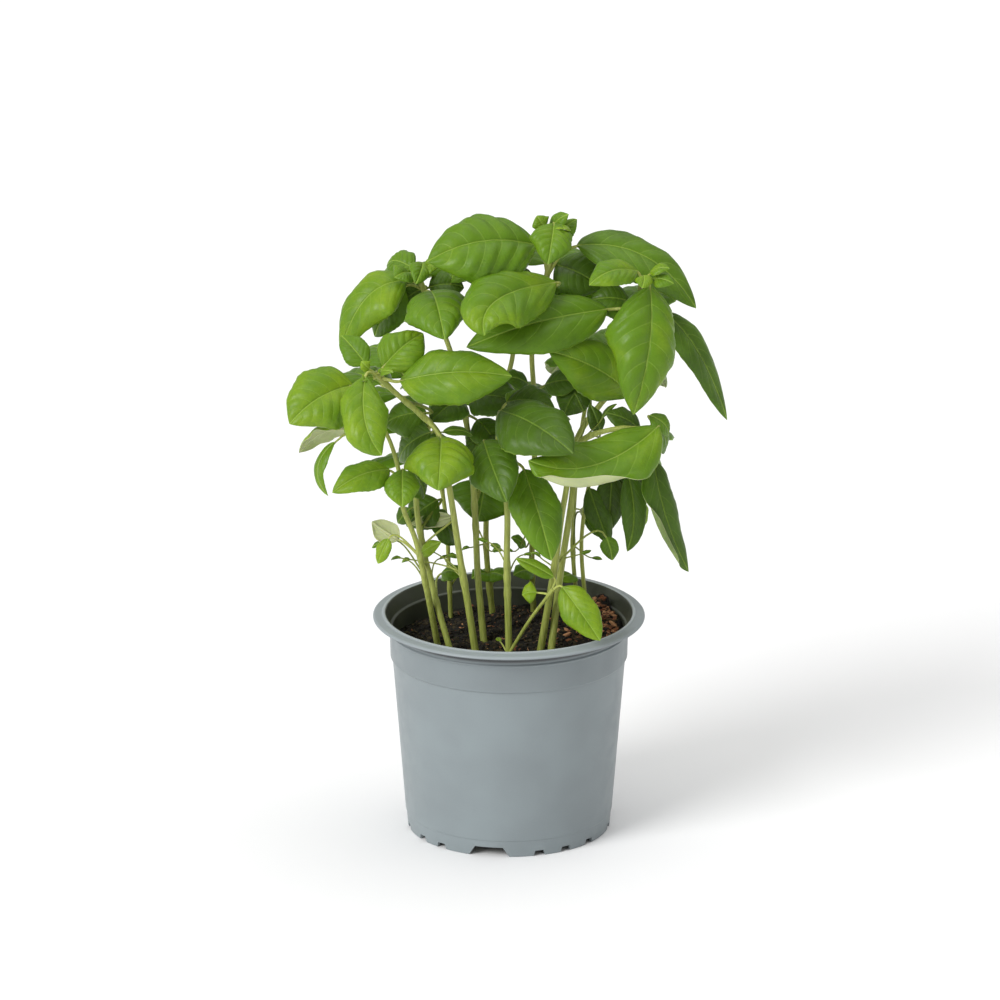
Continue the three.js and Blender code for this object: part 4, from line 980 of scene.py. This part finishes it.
SHOOTS["shoot_back_right"] = dict(radius=(1.1, 1), stem=[
    (34, 30, 91), (31, 34, 121), (31, 36, 141), (34, 38, 180), (40, 42, 216),
], leaves=[
    # upper: right, left, top
    leaf(0.98, (48, 44, 216), (64, 55, 214), (76, 60, 200), 32, (0.2, 0.35, 0.92), 0.4, 0),
    leaf(0.972, (38, 46, 216), (29, 61, 215), (20, 70, 204), 30, (-0.1, 0.5, 0.86), 0.4, 0),
    leaf(0.99, (44, 46, 221), (51, 58, 228), (58, 71, 224), 30, (0.1, 0.1, 0.98), 0.4, 0),
    # lower: right, left
    leaf(0.66, (42, 44, 176), (60, 51, 175), (74, 54, 162), 34, (0.2, 0.3, 0.93), 0.4, 0),
    leaf(0.668, (34, 44, 176), (24, 59, 175), (14, 70, 164), 28, (-0.1, 0.5, 0.86), 0.4, 0),
    # low down: small, pale, at the rim, a twig
    leaf(0.32, (36, 30, 146), (42, 29, 140), (47, 30, 133), 8, (0.2, -0.75, 0.6), 0.3, -1.1),
    leaf(0.36, (34, 30, 148), (40, 30, 146), (46, 26, 147), 8, (0.1, 0.7, -0.5), 0.3, 0.9, 0.3),
    leaf(0.17, (31, 30, 115), (28, 25, 117), (23, 22, 115), 11, (-0.1, -0.55, 0.8), 0.4, 0.2, 0.3),
    twig(0.35, (40, 30, 124), (43, 29, 124), (45, 30, 123), 2.2),
])
count_leaves()

# %% [markdown]
# Last come a low shoot at the right, whose narrow leaves hang down, and a thin sprig at the front, which
# lays one bright leaf over the pot's rim.

# %% Low right shoot and front sprig
SHOOTS["shoot_low_right"] = dict(radius=(1.1, 0.9), stem=[
    (38, 26, 92), (35, 26, 124), (35, 22, 140), (39, 14, 168), (46, 6, 180),
], leaves=[
    # hanging: right, left, narrow, behind
    leaf(0.97, (56, -6, 178), (59, -14, 160), (56, -14, 141), 13, (-0.2, -0.9, 0.35), 0.3, -0.9, 0.5),
    leaf(0.95, (38, 2, 168), (43, -2, 154), (48, 0, 140), 12, (-0.1, -0.85, 0.5), 0.3, -1, 0.5),
    leaf(0.962, (63, 2, 162), (64, 0, 154), (62, 2, 146), 8, (0.6, -0.7, 0.2), 0.3, 0.85, 0.3),
    leaf(0.98, (54, 8, 176), (60, 6, 166), (65, 10, 156), 20, (0, -0.85, 0.5), 0.3, -1.4, 0.5),
    # at the back
    leaf(0.942, (52, 18, 172), (60, 34, 172), (66, 46, 160), 28, (0.2, 0.3, 0.93)),
    # hanging in the middle
    leaf(0.95, (49, 4, 174), (48, 0, 160), (48, 2, 146), 14, (0, -0.85, 0.5), 0.3, -1.2, 0.5),
])
SHOOTS["sprig_front"] = dict(radius=(0.9, 0.8), stem=[
    (0, -22, 93), (10, -30, 113), (21, -38, 131),
], leaves=[
    # over the rim, left, small and round
    leaf(0.98, (25, -41, 133), (34, -50, 123), (43, -53, 110), 18, (-0.25, -0.75, 0.62), 0.35, 0.75, 0.6),
    leaf(0.972, (21, -38, 137), (12, -37, 142), (3, -34, 145), 7.5, (0, -0.7, 0.7), 0.3, 0.7, 0.4),
    leaf(0.93, (13, -34, 128), (9, -34, 128), (6, -32, 126), 11, (0, -0.8, 0.6), 0.3, 0.9, 0.2),
])
count_leaves()

# %% [markdown]
# ## Leaf and stem finishes
# A basil leaf is glossy and mid green above, with lighter veins, and paler and duller below. The blade
# carries numbers at each point: across, from -1 at one edge to 1 at the other, branch, which is whole on
# every side vein, and how far it is from the midrib. The finish draws the veins from them, so they stay crisp
# and run along the puckers of the mesh. An image of a leaf would blur when seen from near. A little light
# passes through the blade, which subsurface scattering gives. The tone sets the colour: young leaves are
# yellower, a low tone is painted shade on leaves that lie in shadow, and a high one is partly painted light.

# %% Leaf finish
MOTTLE, DAPPLE, SHEEN, CELLS = 0.06, 0.9, 0.35, 1.1  # patterns of the skin, in waves to a millimetre
VEIN_SHARE, MIDRIB_CORE, MIDRIB_EDGE = 0.06, 0.15 * MM, 0.6 * MM  # half widths of the lighter lines
BLADE_DEPTH = 1.2 * MM  # how far light travels inside the blade
SKIN_HEIGHT = 0.35


def blade_finish(name, shaded, deep, fresh, young, vein, gloss, relief):
    """One side of a leaf, with a colour for each stage from a shaded to a young one."""
    finish = Finish(name, Roughness=gloss, IOR=1.4, Specular_IOR_Level=0.35, Subsurface_Weight=0.2,
                    Subsurface_Scale=BLADE_DEPTH)
    finish.shader.inputs["Subsurface Radius"].default_value = (0.7, 1.0, 0.15)
    place = finish.place()
    mottle = finish.grain(place, MOTTLE, 3.0)
    cells = finish.add("ShaderNodeTexVoronoi", place, CELLS, feature="SMOOTH_F1")
    across = finish.sum("ABSOLUTE", finish.read("across"))
    away = finish.sum("ABSOLUTE", finish.sum("FRACT", finish.read("branch") + 0.5) - 0.5)  # 0 on a side vein
    side_vein = finish.smooth(away, 0.0, VEIN_SHARE, 1.0, 0.0) * finish.smooth(across, 0.45, 0.95, 1.0, 0.0)
    midrib = finish.smooth(finish.read("from_midrib"), MIDRIB_CORE, MIDRIB_EDGE, 1.0, 0.0)
    veins = finish.sum("MAXIMUM", side_vein * 0.4, midrib)
    margin = finish.smooth(across, 0.955, 0.995)

    tone = finish.read("tone") * 0.5 + (mottle - 0.5) * 0.9 + (finish.grain(place, DAPPLE) - 0.5) * 0.25
    # painted shade: the shaded and deep colours stand for leaves in shadow; young is partly age and partly
    # painted light
    colour = finish.mix(finish.smooth(tone, -0.75, -0.3), shaded, deep)
    colour = finish.mix(finish.smooth(tone, -0.35, 0.15), colour, fresh)
    colour = finish.mix(finish.smooth(tone, 0.1, 0.65), colour, young)
    vivid = finish.smooth(tone, -0.6, 0.1, 0.3, 0.75)  # veins hardly show on shaded leaves
    colour = finish.mix(finish.sum("MAXIMUM", veins * vivid, margin * 0.5), colour, vein)
    finish.feed("Base Color", colour)
    finish.feed("Roughness", finish.smooth(finish.grain(place, SHEEN), 0.3, 0.7, gloss - 0.06, gloss + 0.1))
    finish.bump(cells * 0.35 - veins * relief, 0.6, SKIN_HEIGHT)
    return finish.material


leaf_upper = blade_finish("leaf_upper_side", rgb(56, 76, 18), rgb(72, 102, 22), rgb(94, 130, 24),
                          rgb(132, 160, 30), rgb(146, 176, 70), 0.38, 1.0)
leaf_under = blade_finish("leaf_under_side", rgb(90, 110, 54), rgb(134, 152, 92), rgb(176, 186, 136),
                          rgb(190, 196, 148), rgb(200, 204, 160), 0.55, -1.0)
print("leaf finishes:", leaf_upper.name, leaf_under.name)

# %% [markdown]
# Stems and stalks are juicy and pale, yellowish green with fine lengthwise streaks. Streaks are noise that
# is stretched along the height, and the tone makes a shaded stalk darker.

# %% Stem finish
STREAK, STREAK_HEIGHT = 1.3, 0.3  # waves to a millimetre round the stem, and millimetres
STREAK_STRETCH = 0.06  # upwards there are only so many waves to each one round the stem
STEM_DEPTH = 1.5 * MM

green = Finish("green_stem", Roughness=0.45, IOR=1.42, Subsurface_Weight=0.3, Subsurface_Scale=STEM_DEPTH)
green.shader.inputs["Subsurface Radius"].default_value = (0.8, 1.0, 0.25)
streak = green.grain(green.place((1, 1, STREAK_STRETCH)), STREAK, 4.0)
tone = green.read("tone") * 0.35 + (streak - 0.5) * 0.9
green.feed("Base Color", green.mix(green.smooth(tone, -0.4, 0.4), rgb(112, 126, 42), rgb(178, 186, 98)))
green.bump(streak, 0.5, STREAK_HEIGHT)
green_stem = green.material
print("stem finish:", green_stem.name)

# %% [markdown]
# ## Growing a shoot
# A leaf blade is a rule, not a drawing: a flat sheet of squares is laid on the leaf's midrib, narrowed to
# the outline, and bent across. Its halves bulge on both sides of the sunken midrib, the skin puckers up
# between the side veins, and the edge ripples. The same sheet is put on every leaf point of a plan, realized,
# and bent by the one formula with each leaf's own numbers. Modelling 140 leaves by hand could look as good,
# but each change would then be made 140 times.
#
# The first part of the tree lays the sheets. Their squares are smaller at the midrib and at both ends, where
# the blade turns fastest.

# %% Sheets for the blades
CLOSER_IN = 0.4  # the power that draws the sheet's lines towards the midrib

growing = Maker("shoot_from_plan", Across=39, Along=61, Thickness=0.4 * MM, Rib=0.7 * MM, Veins=6.5,
                Groove=0.14, Pucker=0.085, Ripple=0.06, Curl=0.16, Stem_sides=14, Upper=leaf_upper,
                Under=leaf_under, Stem=green_stem)
at = growing.add("GeometryNodeInputPosition")
at_axes = growing.add("ShaderNodeSeparateXYZ", at)
is_leaf = growing.add("FunctionNodeCompare", growing.read("kind"), 1.0, operation="EQUAL")
leaf_points = growing.add("GeometryNodeSeparateGeometry", growing.given(), is_leaf)

sheet = growing.add("GeometryNodeMeshGrid", 2.0, 1.0, growing.given("Across"), growing.given("Along"))
side = growing.sum("ABSOLUTE", at_axes.also("X"))
sheet = growing.store(sheet, "across", at_axes.also("X") * side ** CLOSER_IN)
even = at_axes.also("Y") + 0.5
sheet = growing.store(sheet, "along", 0.5 - growing.sum("COSINE", even * math.pi) * 0.5)
blades = growing.add("GeometryNodeInstanceOnPoints", leaf_points, None, sheet)
blades = growing.add("GeometryNodeRealizeInstances", blades)

# %% [markdown]
# The midrib is a parabola from the blade's start to its tip, pulled towards a third point. At each point of
# it, forward, sideways and upward are three directions at right angles. The outline gives half the blade's
# width there, from a curve that was drawn, with faint teeth and a slow unevenness on it. Then the
# sheet is rolled round the midrib: bend is the angle, in radians, that the blade's edges drop by.

# %% Midrib, outline and bend
HALF_WIDTHS = [  # how far along the blade, and the share of its greatest half width there
    (0.015, 0.2), (0.05, 0.44), (0.12, 0.71), (0.2, 0.88), (0.3, 0.98), (0.4, 1.0),
    (0.5, 0.98), (0.62, 0.89), (0.74, 0.73), (0.84, 0.54), (0.92, 0.33), (0.97, 0.16),
]
AT_STALK, AT_TIP, LEAST_HALF = (0, 0.05), (1, 0.01), 0.06 * MM
TEETH, TOOTH = 62.0, 0.012  # radians of the waves along the edge, and their share of the half width
SWAYS, SWAY = 8.0, 0.05  # the same for the slow unevenness

across, along = growing.read("across"), growing.read("along")
base, pull, tip, face = (growing.read(name, "FLOAT_VECTOR") for name in ("base", "pull", "tip", "face"))
rest = 1.0 - along
midrib = base * (rest * rest) + pull * (rest * along * 2.0) + tip * (along * along)
forward = growing.sum("NORMALIZE", (pull - base) * rest + (tip - pull) * along)
sideways = growing.sum("NORMALIZE", growing.sum("CROSS_PRODUCT", forward, face))
upward = growing.sum("CROSS_PRODUCT", sideways, forward)

outline = growing.add("ShaderNodeFloatCurve", 1.0, along)
drawn = outline.node.mapping.curves[0]
for spot in HALF_WIDTHS:
    drawn.points.new(*spot)
drawn.points[0].location, drawn.points[-1].location = AT_STALK, AT_TIP
outline.node.mapping.update()
teeth = 1.0 + growing.sum("SINE", along * TEETH) * TOOTH
uneven = 1.0 + growing.sum("SINE", along * SWAYS + across * 1.5 + growing.read("seed") * 30.0) * SWAY
half = growing.sum("MAXIMUM", growing.read("width") * 0.5 * outline * teeth * uneven, LEAST_HALF)

bend = growing.read("bend")
angle = across * bend
sine, cosine = growing.sum("SINE", angle), growing.sum("COSINE", angle)
skin = midrib + sideways * (half * sine / bend) - upward * (half * (1.0 - cosine) / bend)
outward = upward * cosine + sideways * sine

# %% [markdown]
# Relief is added along outward, the way the skin faces: a groove along the midrib, puckers between the side
# veins, a ripple and a downward curl that both grow towards the edge, and a slow drift of noise. Its heights
# are shares of the blade's half width, so a small leaf has small puckers.

# %% Relief of the blade
VEIN_SLANT, VEIN_CURVE = 0.14, 0.22  # how far a side vein runs forward, straight and in an arc
WAVES, OUT_OF_STEP = 15.0, 0.9  # radians of the ripple along the edge, and between its two sides
DRIFT_WAVES, DRIFT, SUNK = 45.0, 0.2, 0.06  # waves to a metre, and shares of the half width

aside = growing.sum("ABSOLUTE", across)
branch = growing.given("Veins") * (along - aside * VEIN_SLANT - aside * aside * VEIN_CURVE)
inner = 1.0 - aside
swell = 1.0 - inner * inner * inner  # 0 on the midrib, and soon 1 beside it
crest = growing.sum("ABSOLUTE", growing.sum("SINE", branch * math.pi))
middle = growing.sum("SQRT", aside) * (1.0 - aside * aside)
pucker = growing.given("Pucker") * growing.read("puckered") * middle * crest
side_sign = growing.sum("SIGN", across)
wave = growing.sum("SINE", along * WAVES + side_sign * OUT_OF_STEP + growing.read("seed") * 6.0)
ripple = growing.given("Ripple") * aside * aside * aside * wave
curl = growing.given("Curl") * aside * aside * aside * aside
drift = growing.add("ShaderNodeTexNoise", skin + growing.read("seed"), DRIFT_WAVES, 1.0) - 0.5
lift = half * (growing.given("Groove") * swell + pucker + ripple - curl + drift * swell * DRIFT - SUNK)
blades = growing.store(blades, "branch", branch)
blades = growing.store(blades, "from_midrib", half * aside)
skin = skin + outward * lift

# %% [markdown]
# Some leaves have a turned edge, which shows a pale strip of the under side. The outer part of the blade on
# that side folds over in a tight arc and then runs straight back over the blade. Turned is the angle of the
# fold, positive for one side and negative for the other.

# %% Turned edges
EDGE, FOLD = 0.4, 0.35  # share of the half blade that turns, and share of that part that is the arc
LEAST_TURN = 0.02

turned = growing.read("turned")
on_side = growing.sum("MAXIMUM", side_sign * growing.sum("SIGN", turned), 0.0)
reach = growing.smooth(along, 0.15, 0.55) * growing.smooth(along, 0.8, 0.97, 1.0, 0.0)
whole_turn = growing.sum("MAXIMUM", growing.sum("ABSOLUTE", turned) * reach, LEAST_TURN)
share = growing.sum("MAXIMUM", (aside - (1 - EDGE)) / EDGE, 0.0)
arc_radius = half * (EDGE * FOLD) / whole_turn
arc = whole_turn * growing.sum("MINIMUM", share / FOLD, 1.0)
straight = half * EDGE * growing.sum("MAXIMUM", share - FOLD, 0.0)
onward = (sideways * cosine - upward * sine) * side_sign
run_on = arc_radius * growing.sum("SINE", arc) + straight * growing.sum("COSINE", whole_turn)
rise = arc_radius * (1.0 - growing.sum("COSINE", arc)) + straight * growing.sum("SINE", whole_turn)
shift = onward * (run_on - half * EDGE * share) + outward * rise
blades = growing.add("GeometryNodeSetPosition", blades, True, skin + shift * on_side)

# %% [markdown]
# A sheet has no thickness yet. Extruding it downwards gives the under side and the rim, and the extruded
# faces are flipped so that they look outwards. The weld joins the two along the sheet's edge. The ends never
# narrow to a point, so the rim closes them too. Under the midrib the sheet is extruded further, because the
# rib stands out there, and towards the thin edge less.

# %% Thickness of the blades
RIB_HALF, EDGE_THINNER, WELD = 0.55 * MM, 0.5, 0.0002 * MM

off_rib = growing.read("from_midrib") / RIB_HALF
rib = growing.given("Rib") * rest * growing.sum("EXPONENT", off_rib * off_rib * -1.0)
thin = (growing.given("Thickness") * (1.0 - aside * aside * EDGE_THINNER) + rib) * -1.0
blades = growing.add("GeometryNodeSetMaterial", blades, True, growing.given("Upper"))
below = growing.add("GeometryNodeExtrudeMesh", blades, True, None, thin, False)
below = growing.add("GeometryNodeSetMaterial", below, True, growing.given("Under"))
below = growing.add("GeometryNodeFlipFaces", below, True)
blades = growing.add("GeometryNodeJoinGeometry", [blades, below])
blades = growing.add("GeometryNodeMergeByDistance", blades, True, WELD)

# %% [markdown]
# Stems and stalks are lines in the plan. A circle is swept along them, as thick at each point as its number
# says, with its ends closed. The Skin modifier could do this too, but its limbs are square until they are
# subdivided.

# %% Stems and stalks
rods = growing.add("GeometryNodeMeshToCurve", leaf_points.also("Inverted"))
ring = growing.add("GeometryNodeCurvePrimitiveCircle", growing.given("Stem_sides"), mode="RADIUS",
                   named={"Radius": 1.0})
rods = growing.add("GeometryNodeCurveToMesh", rods, ring, growing.read("thick"), True)
rods = growing.add("GeometryNodeSetMaterial", rods, True, growing.given("Stem"))
shoot = growing.add("GeometryNodeJoinGeometry", [blades, rods])
growing.finish(growing.add("GeometryNodeSetShadeSmooth", shoot, True, True))
print("nodes in the shoot's tree:", len(growing.group.nodes))

# %% [markdown]
# The plan of a shoot has a loose point for each leaf, and lines for the stem and the stalks. A stem is a
# smooth curve through its noted points, a centripetal Catmull-Rom spline, which never loops between them. A
# Bezier curve would need two handles at each point instead.

# %% Curves
DENSE = 24  # points from one noted point to the next, before they are spaced evenly


def smooth_path(points, step=1.5):
    """Points every step along a centripetal Catmull-Rom spline."""
    ends = [points[0] * 2 - points[1], *points, points[-1] * 2 - points[-2]]
    dense = []
    for p0, p1, p2, p3 in zip(ends, ends[1:], ends[2:], ends[3:]):
        t1 = (p1 - p0).length ** 0.5
        t2 = t1 + (p2 - p1).length ** 0.5
        t3 = t2 + (p3 - p2).length ** 0.5
        for t in (t1 + (t2 - t1) * i / DENSE for i in range(DENSE)):
            on = (t - t1) / (t2 - t1)
            before, between, after = p0.lerp(p1, t / t1), p1.lerp(p2, on), p2.lerp(p3, (t - t2) / (t3 - t2))
            dense.append(before.lerp(between, t / t2).lerp(between.lerp(after, (t - t1) / (t3 - t1)), on))
    dense.append(points[-1])
    lengths = [0]
    for a, b in zip(dense, dense[1:]):
        lengths.append(lengths[-1] + (b - a).length)
    count = max(2, round(lengths[-1] / step))
    even, i = [], 0
    for wanted in (lengths[-1] * n / count for n in range(count + 1)):
        while i + 2 < len(dense) and lengths[i + 1] < wanted:
            i += 1
        even.append(dense[i].lerp(dense[i + 1], (wanted - lengths[i]) / (lengths[i + 1] - lengths[i])))
    return even


def curved(start, leave, arrive, end, count):
    """Points of a cubic Bezier curve with its two pulls given as offsets from its ends."""
    one, two = start + leave, end - arrive
    return [(1 - t) ** 3 * start + 3 * (1 - t) ** 2 * t * one + 3 * (1 - t) * t * t * two + t ** 3 * end
            for t in (i / (count - 1) for i in range(count))]


# %% [markdown]
# A plan is collected row by row: each point of a line says how thick the rod is there, and each leaf's point
# carries all of its leaf's numbers. A point has every column, so each row starts from the same blank one.

# %% Rows of a plan
class ShootPlan:
    """Collects the points, lines and numbers of a shoot's plan."""

    def __init__(self):
        self.points, self.edges, self.rows = [], [], []

    def row(self, kind, **numbers):
        blank = dict(kind=kind, thick=0.0, width=0.0, bend=1.0, tone=0.0, puckered=0.0, turned=0.0, seed=0.0,
                     base=Vector(), pull=Vector(), tip=Vector(), face=Vector((0, 0, 1)))
        self.rows.append(blank | numbers)

    def line(self, points, thicks, tone):
        first = len(self.points)
        self.points += points
        self.edges += [(first + i, first + i + 1) for i in range(len(points) - 1)]
        for thick in thicks:
            self.row(0.0, thick=thick * MM, tone=tone)

    def mesh(self, name):
        columns = {key: [row[key] for row in self.rows] for key in self.rows[0]}
        return plan(name, self.points, self.edges, **columns)


# %% [markdown]
# A stem starts some way down in the soil, thins towards its top and swells where a stalk leaves it. A stalk
# rises from the stem, bends over and runs into the blade, where the midrib goes on from it. Its end sinks a
# little below the blade, so that the two meet as one grown piece.

# %% Plan of a shoot
ROOT_DEPTH, STEM_TONE = 9, 0.2
JOINT_SWELL, JOINT_SPREAD = 0.3, 1.6  # millimetres thicker at a joint, and points on either side of it
STALK_POINTS, STALK_RADIUS, STALK_SINK, STALK_RISE = 10, 0.85, 0.6, 0.1
TIP_SHARE = 0.985  # keeps the tips inside the box of the solids
GOLDEN = 0.618034  # steps of this share spread the leaves' seeds evenly


def plan_stem(draft, path, radius, joints):
    """The stem's line. Joints are shares of its length, and radius is at its foot and at its top."""
    last = len(path) - 1
    thicks = []
    for i in range(len(path)):
        share = i / last
        swell = max(math.exp(-((share - joint) * last / JOINT_SPREAD) ** 2) for joint in joints)
        thicks.append(radius[0] + (radius[1] - radius[0]) * share + JOINT_SWELL * swell)
    draft.line(path, thicks, STEM_TONE)


def plan_leaf(draft, start, seed, base, middle, tip, width, face, tone, **look):
    """The stalk from the stem at start into the blade, and the leaf's own point."""
    tip = base.lerp(tip, TIP_SHARE)
    pull = middle * 2 - (base + tip) / 2
    gap = (base - start).length
    run = (pull - base).normalized()
    sunk = run.cross(face).normalized().cross(run) * STALK_SINK
    leave = (base - start) * 0.3 + Vector((0, 0, STALK_RISE * gap))
    stalk = curved(start, leave, run * gap * 0.4, base - sunk, STALK_POINTS)
    inside = base + run * min(2.0, width * 0.12) - sunk
    ease = min(1.0, 0.4 + width / 45)  # a small leaf has a thin stalk
    thicks = [STALK_RADIUS * ease * (1.1 - 0.3 * i / STALK_POINTS) for i in range(STALK_POINTS)]
    draft.line([*stalk, inside], [*thicks, 0.45 * STALK_RADIUS * ease], tone)
    draft.points.append(base)
    draft.row(1.0, seed=seed, base=base * MM, pull=pull * MM, tip=tip * MM, width=width * MM, face=face,
              tone=tone, **look)


def plan_shoot(name, radius, stem, leaves):
    """The plan's mesh of a whole shoot."""
    draft = ShootPlan()
    stem = [Vector(p) for p in stem]
    root = stem[0] + (stem[0] - stem[1]).normalized() * ROOT_DEPTH
    path = smooth_path([root, *stem])
    plan_stem(draft, path, radius, {leaf["at"] for leaf in leaves})
    for number, leaf in enumerate(leaves):
        start = path[round(leaf["at"] * (len(path) - 1))]
        seed = (number * GOLDEN + len(name) * 0.1) % 1
        plan_leaf(draft, start, seed, **{key: value for key, value in leaf.items() if key != "at"})
    return draft.mesh(name + "_plan")


# %% [markdown]
# Each shoot is now one run of the tree on its plan. It takes the place of the solid that it was noted with.

# %% Grow the shoots
for name, spec in SHOOTS.items():
    piece = growing.run("leafy_" + name, plan_shoot(name, **spec))
    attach(piece, "root")
    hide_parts(name)
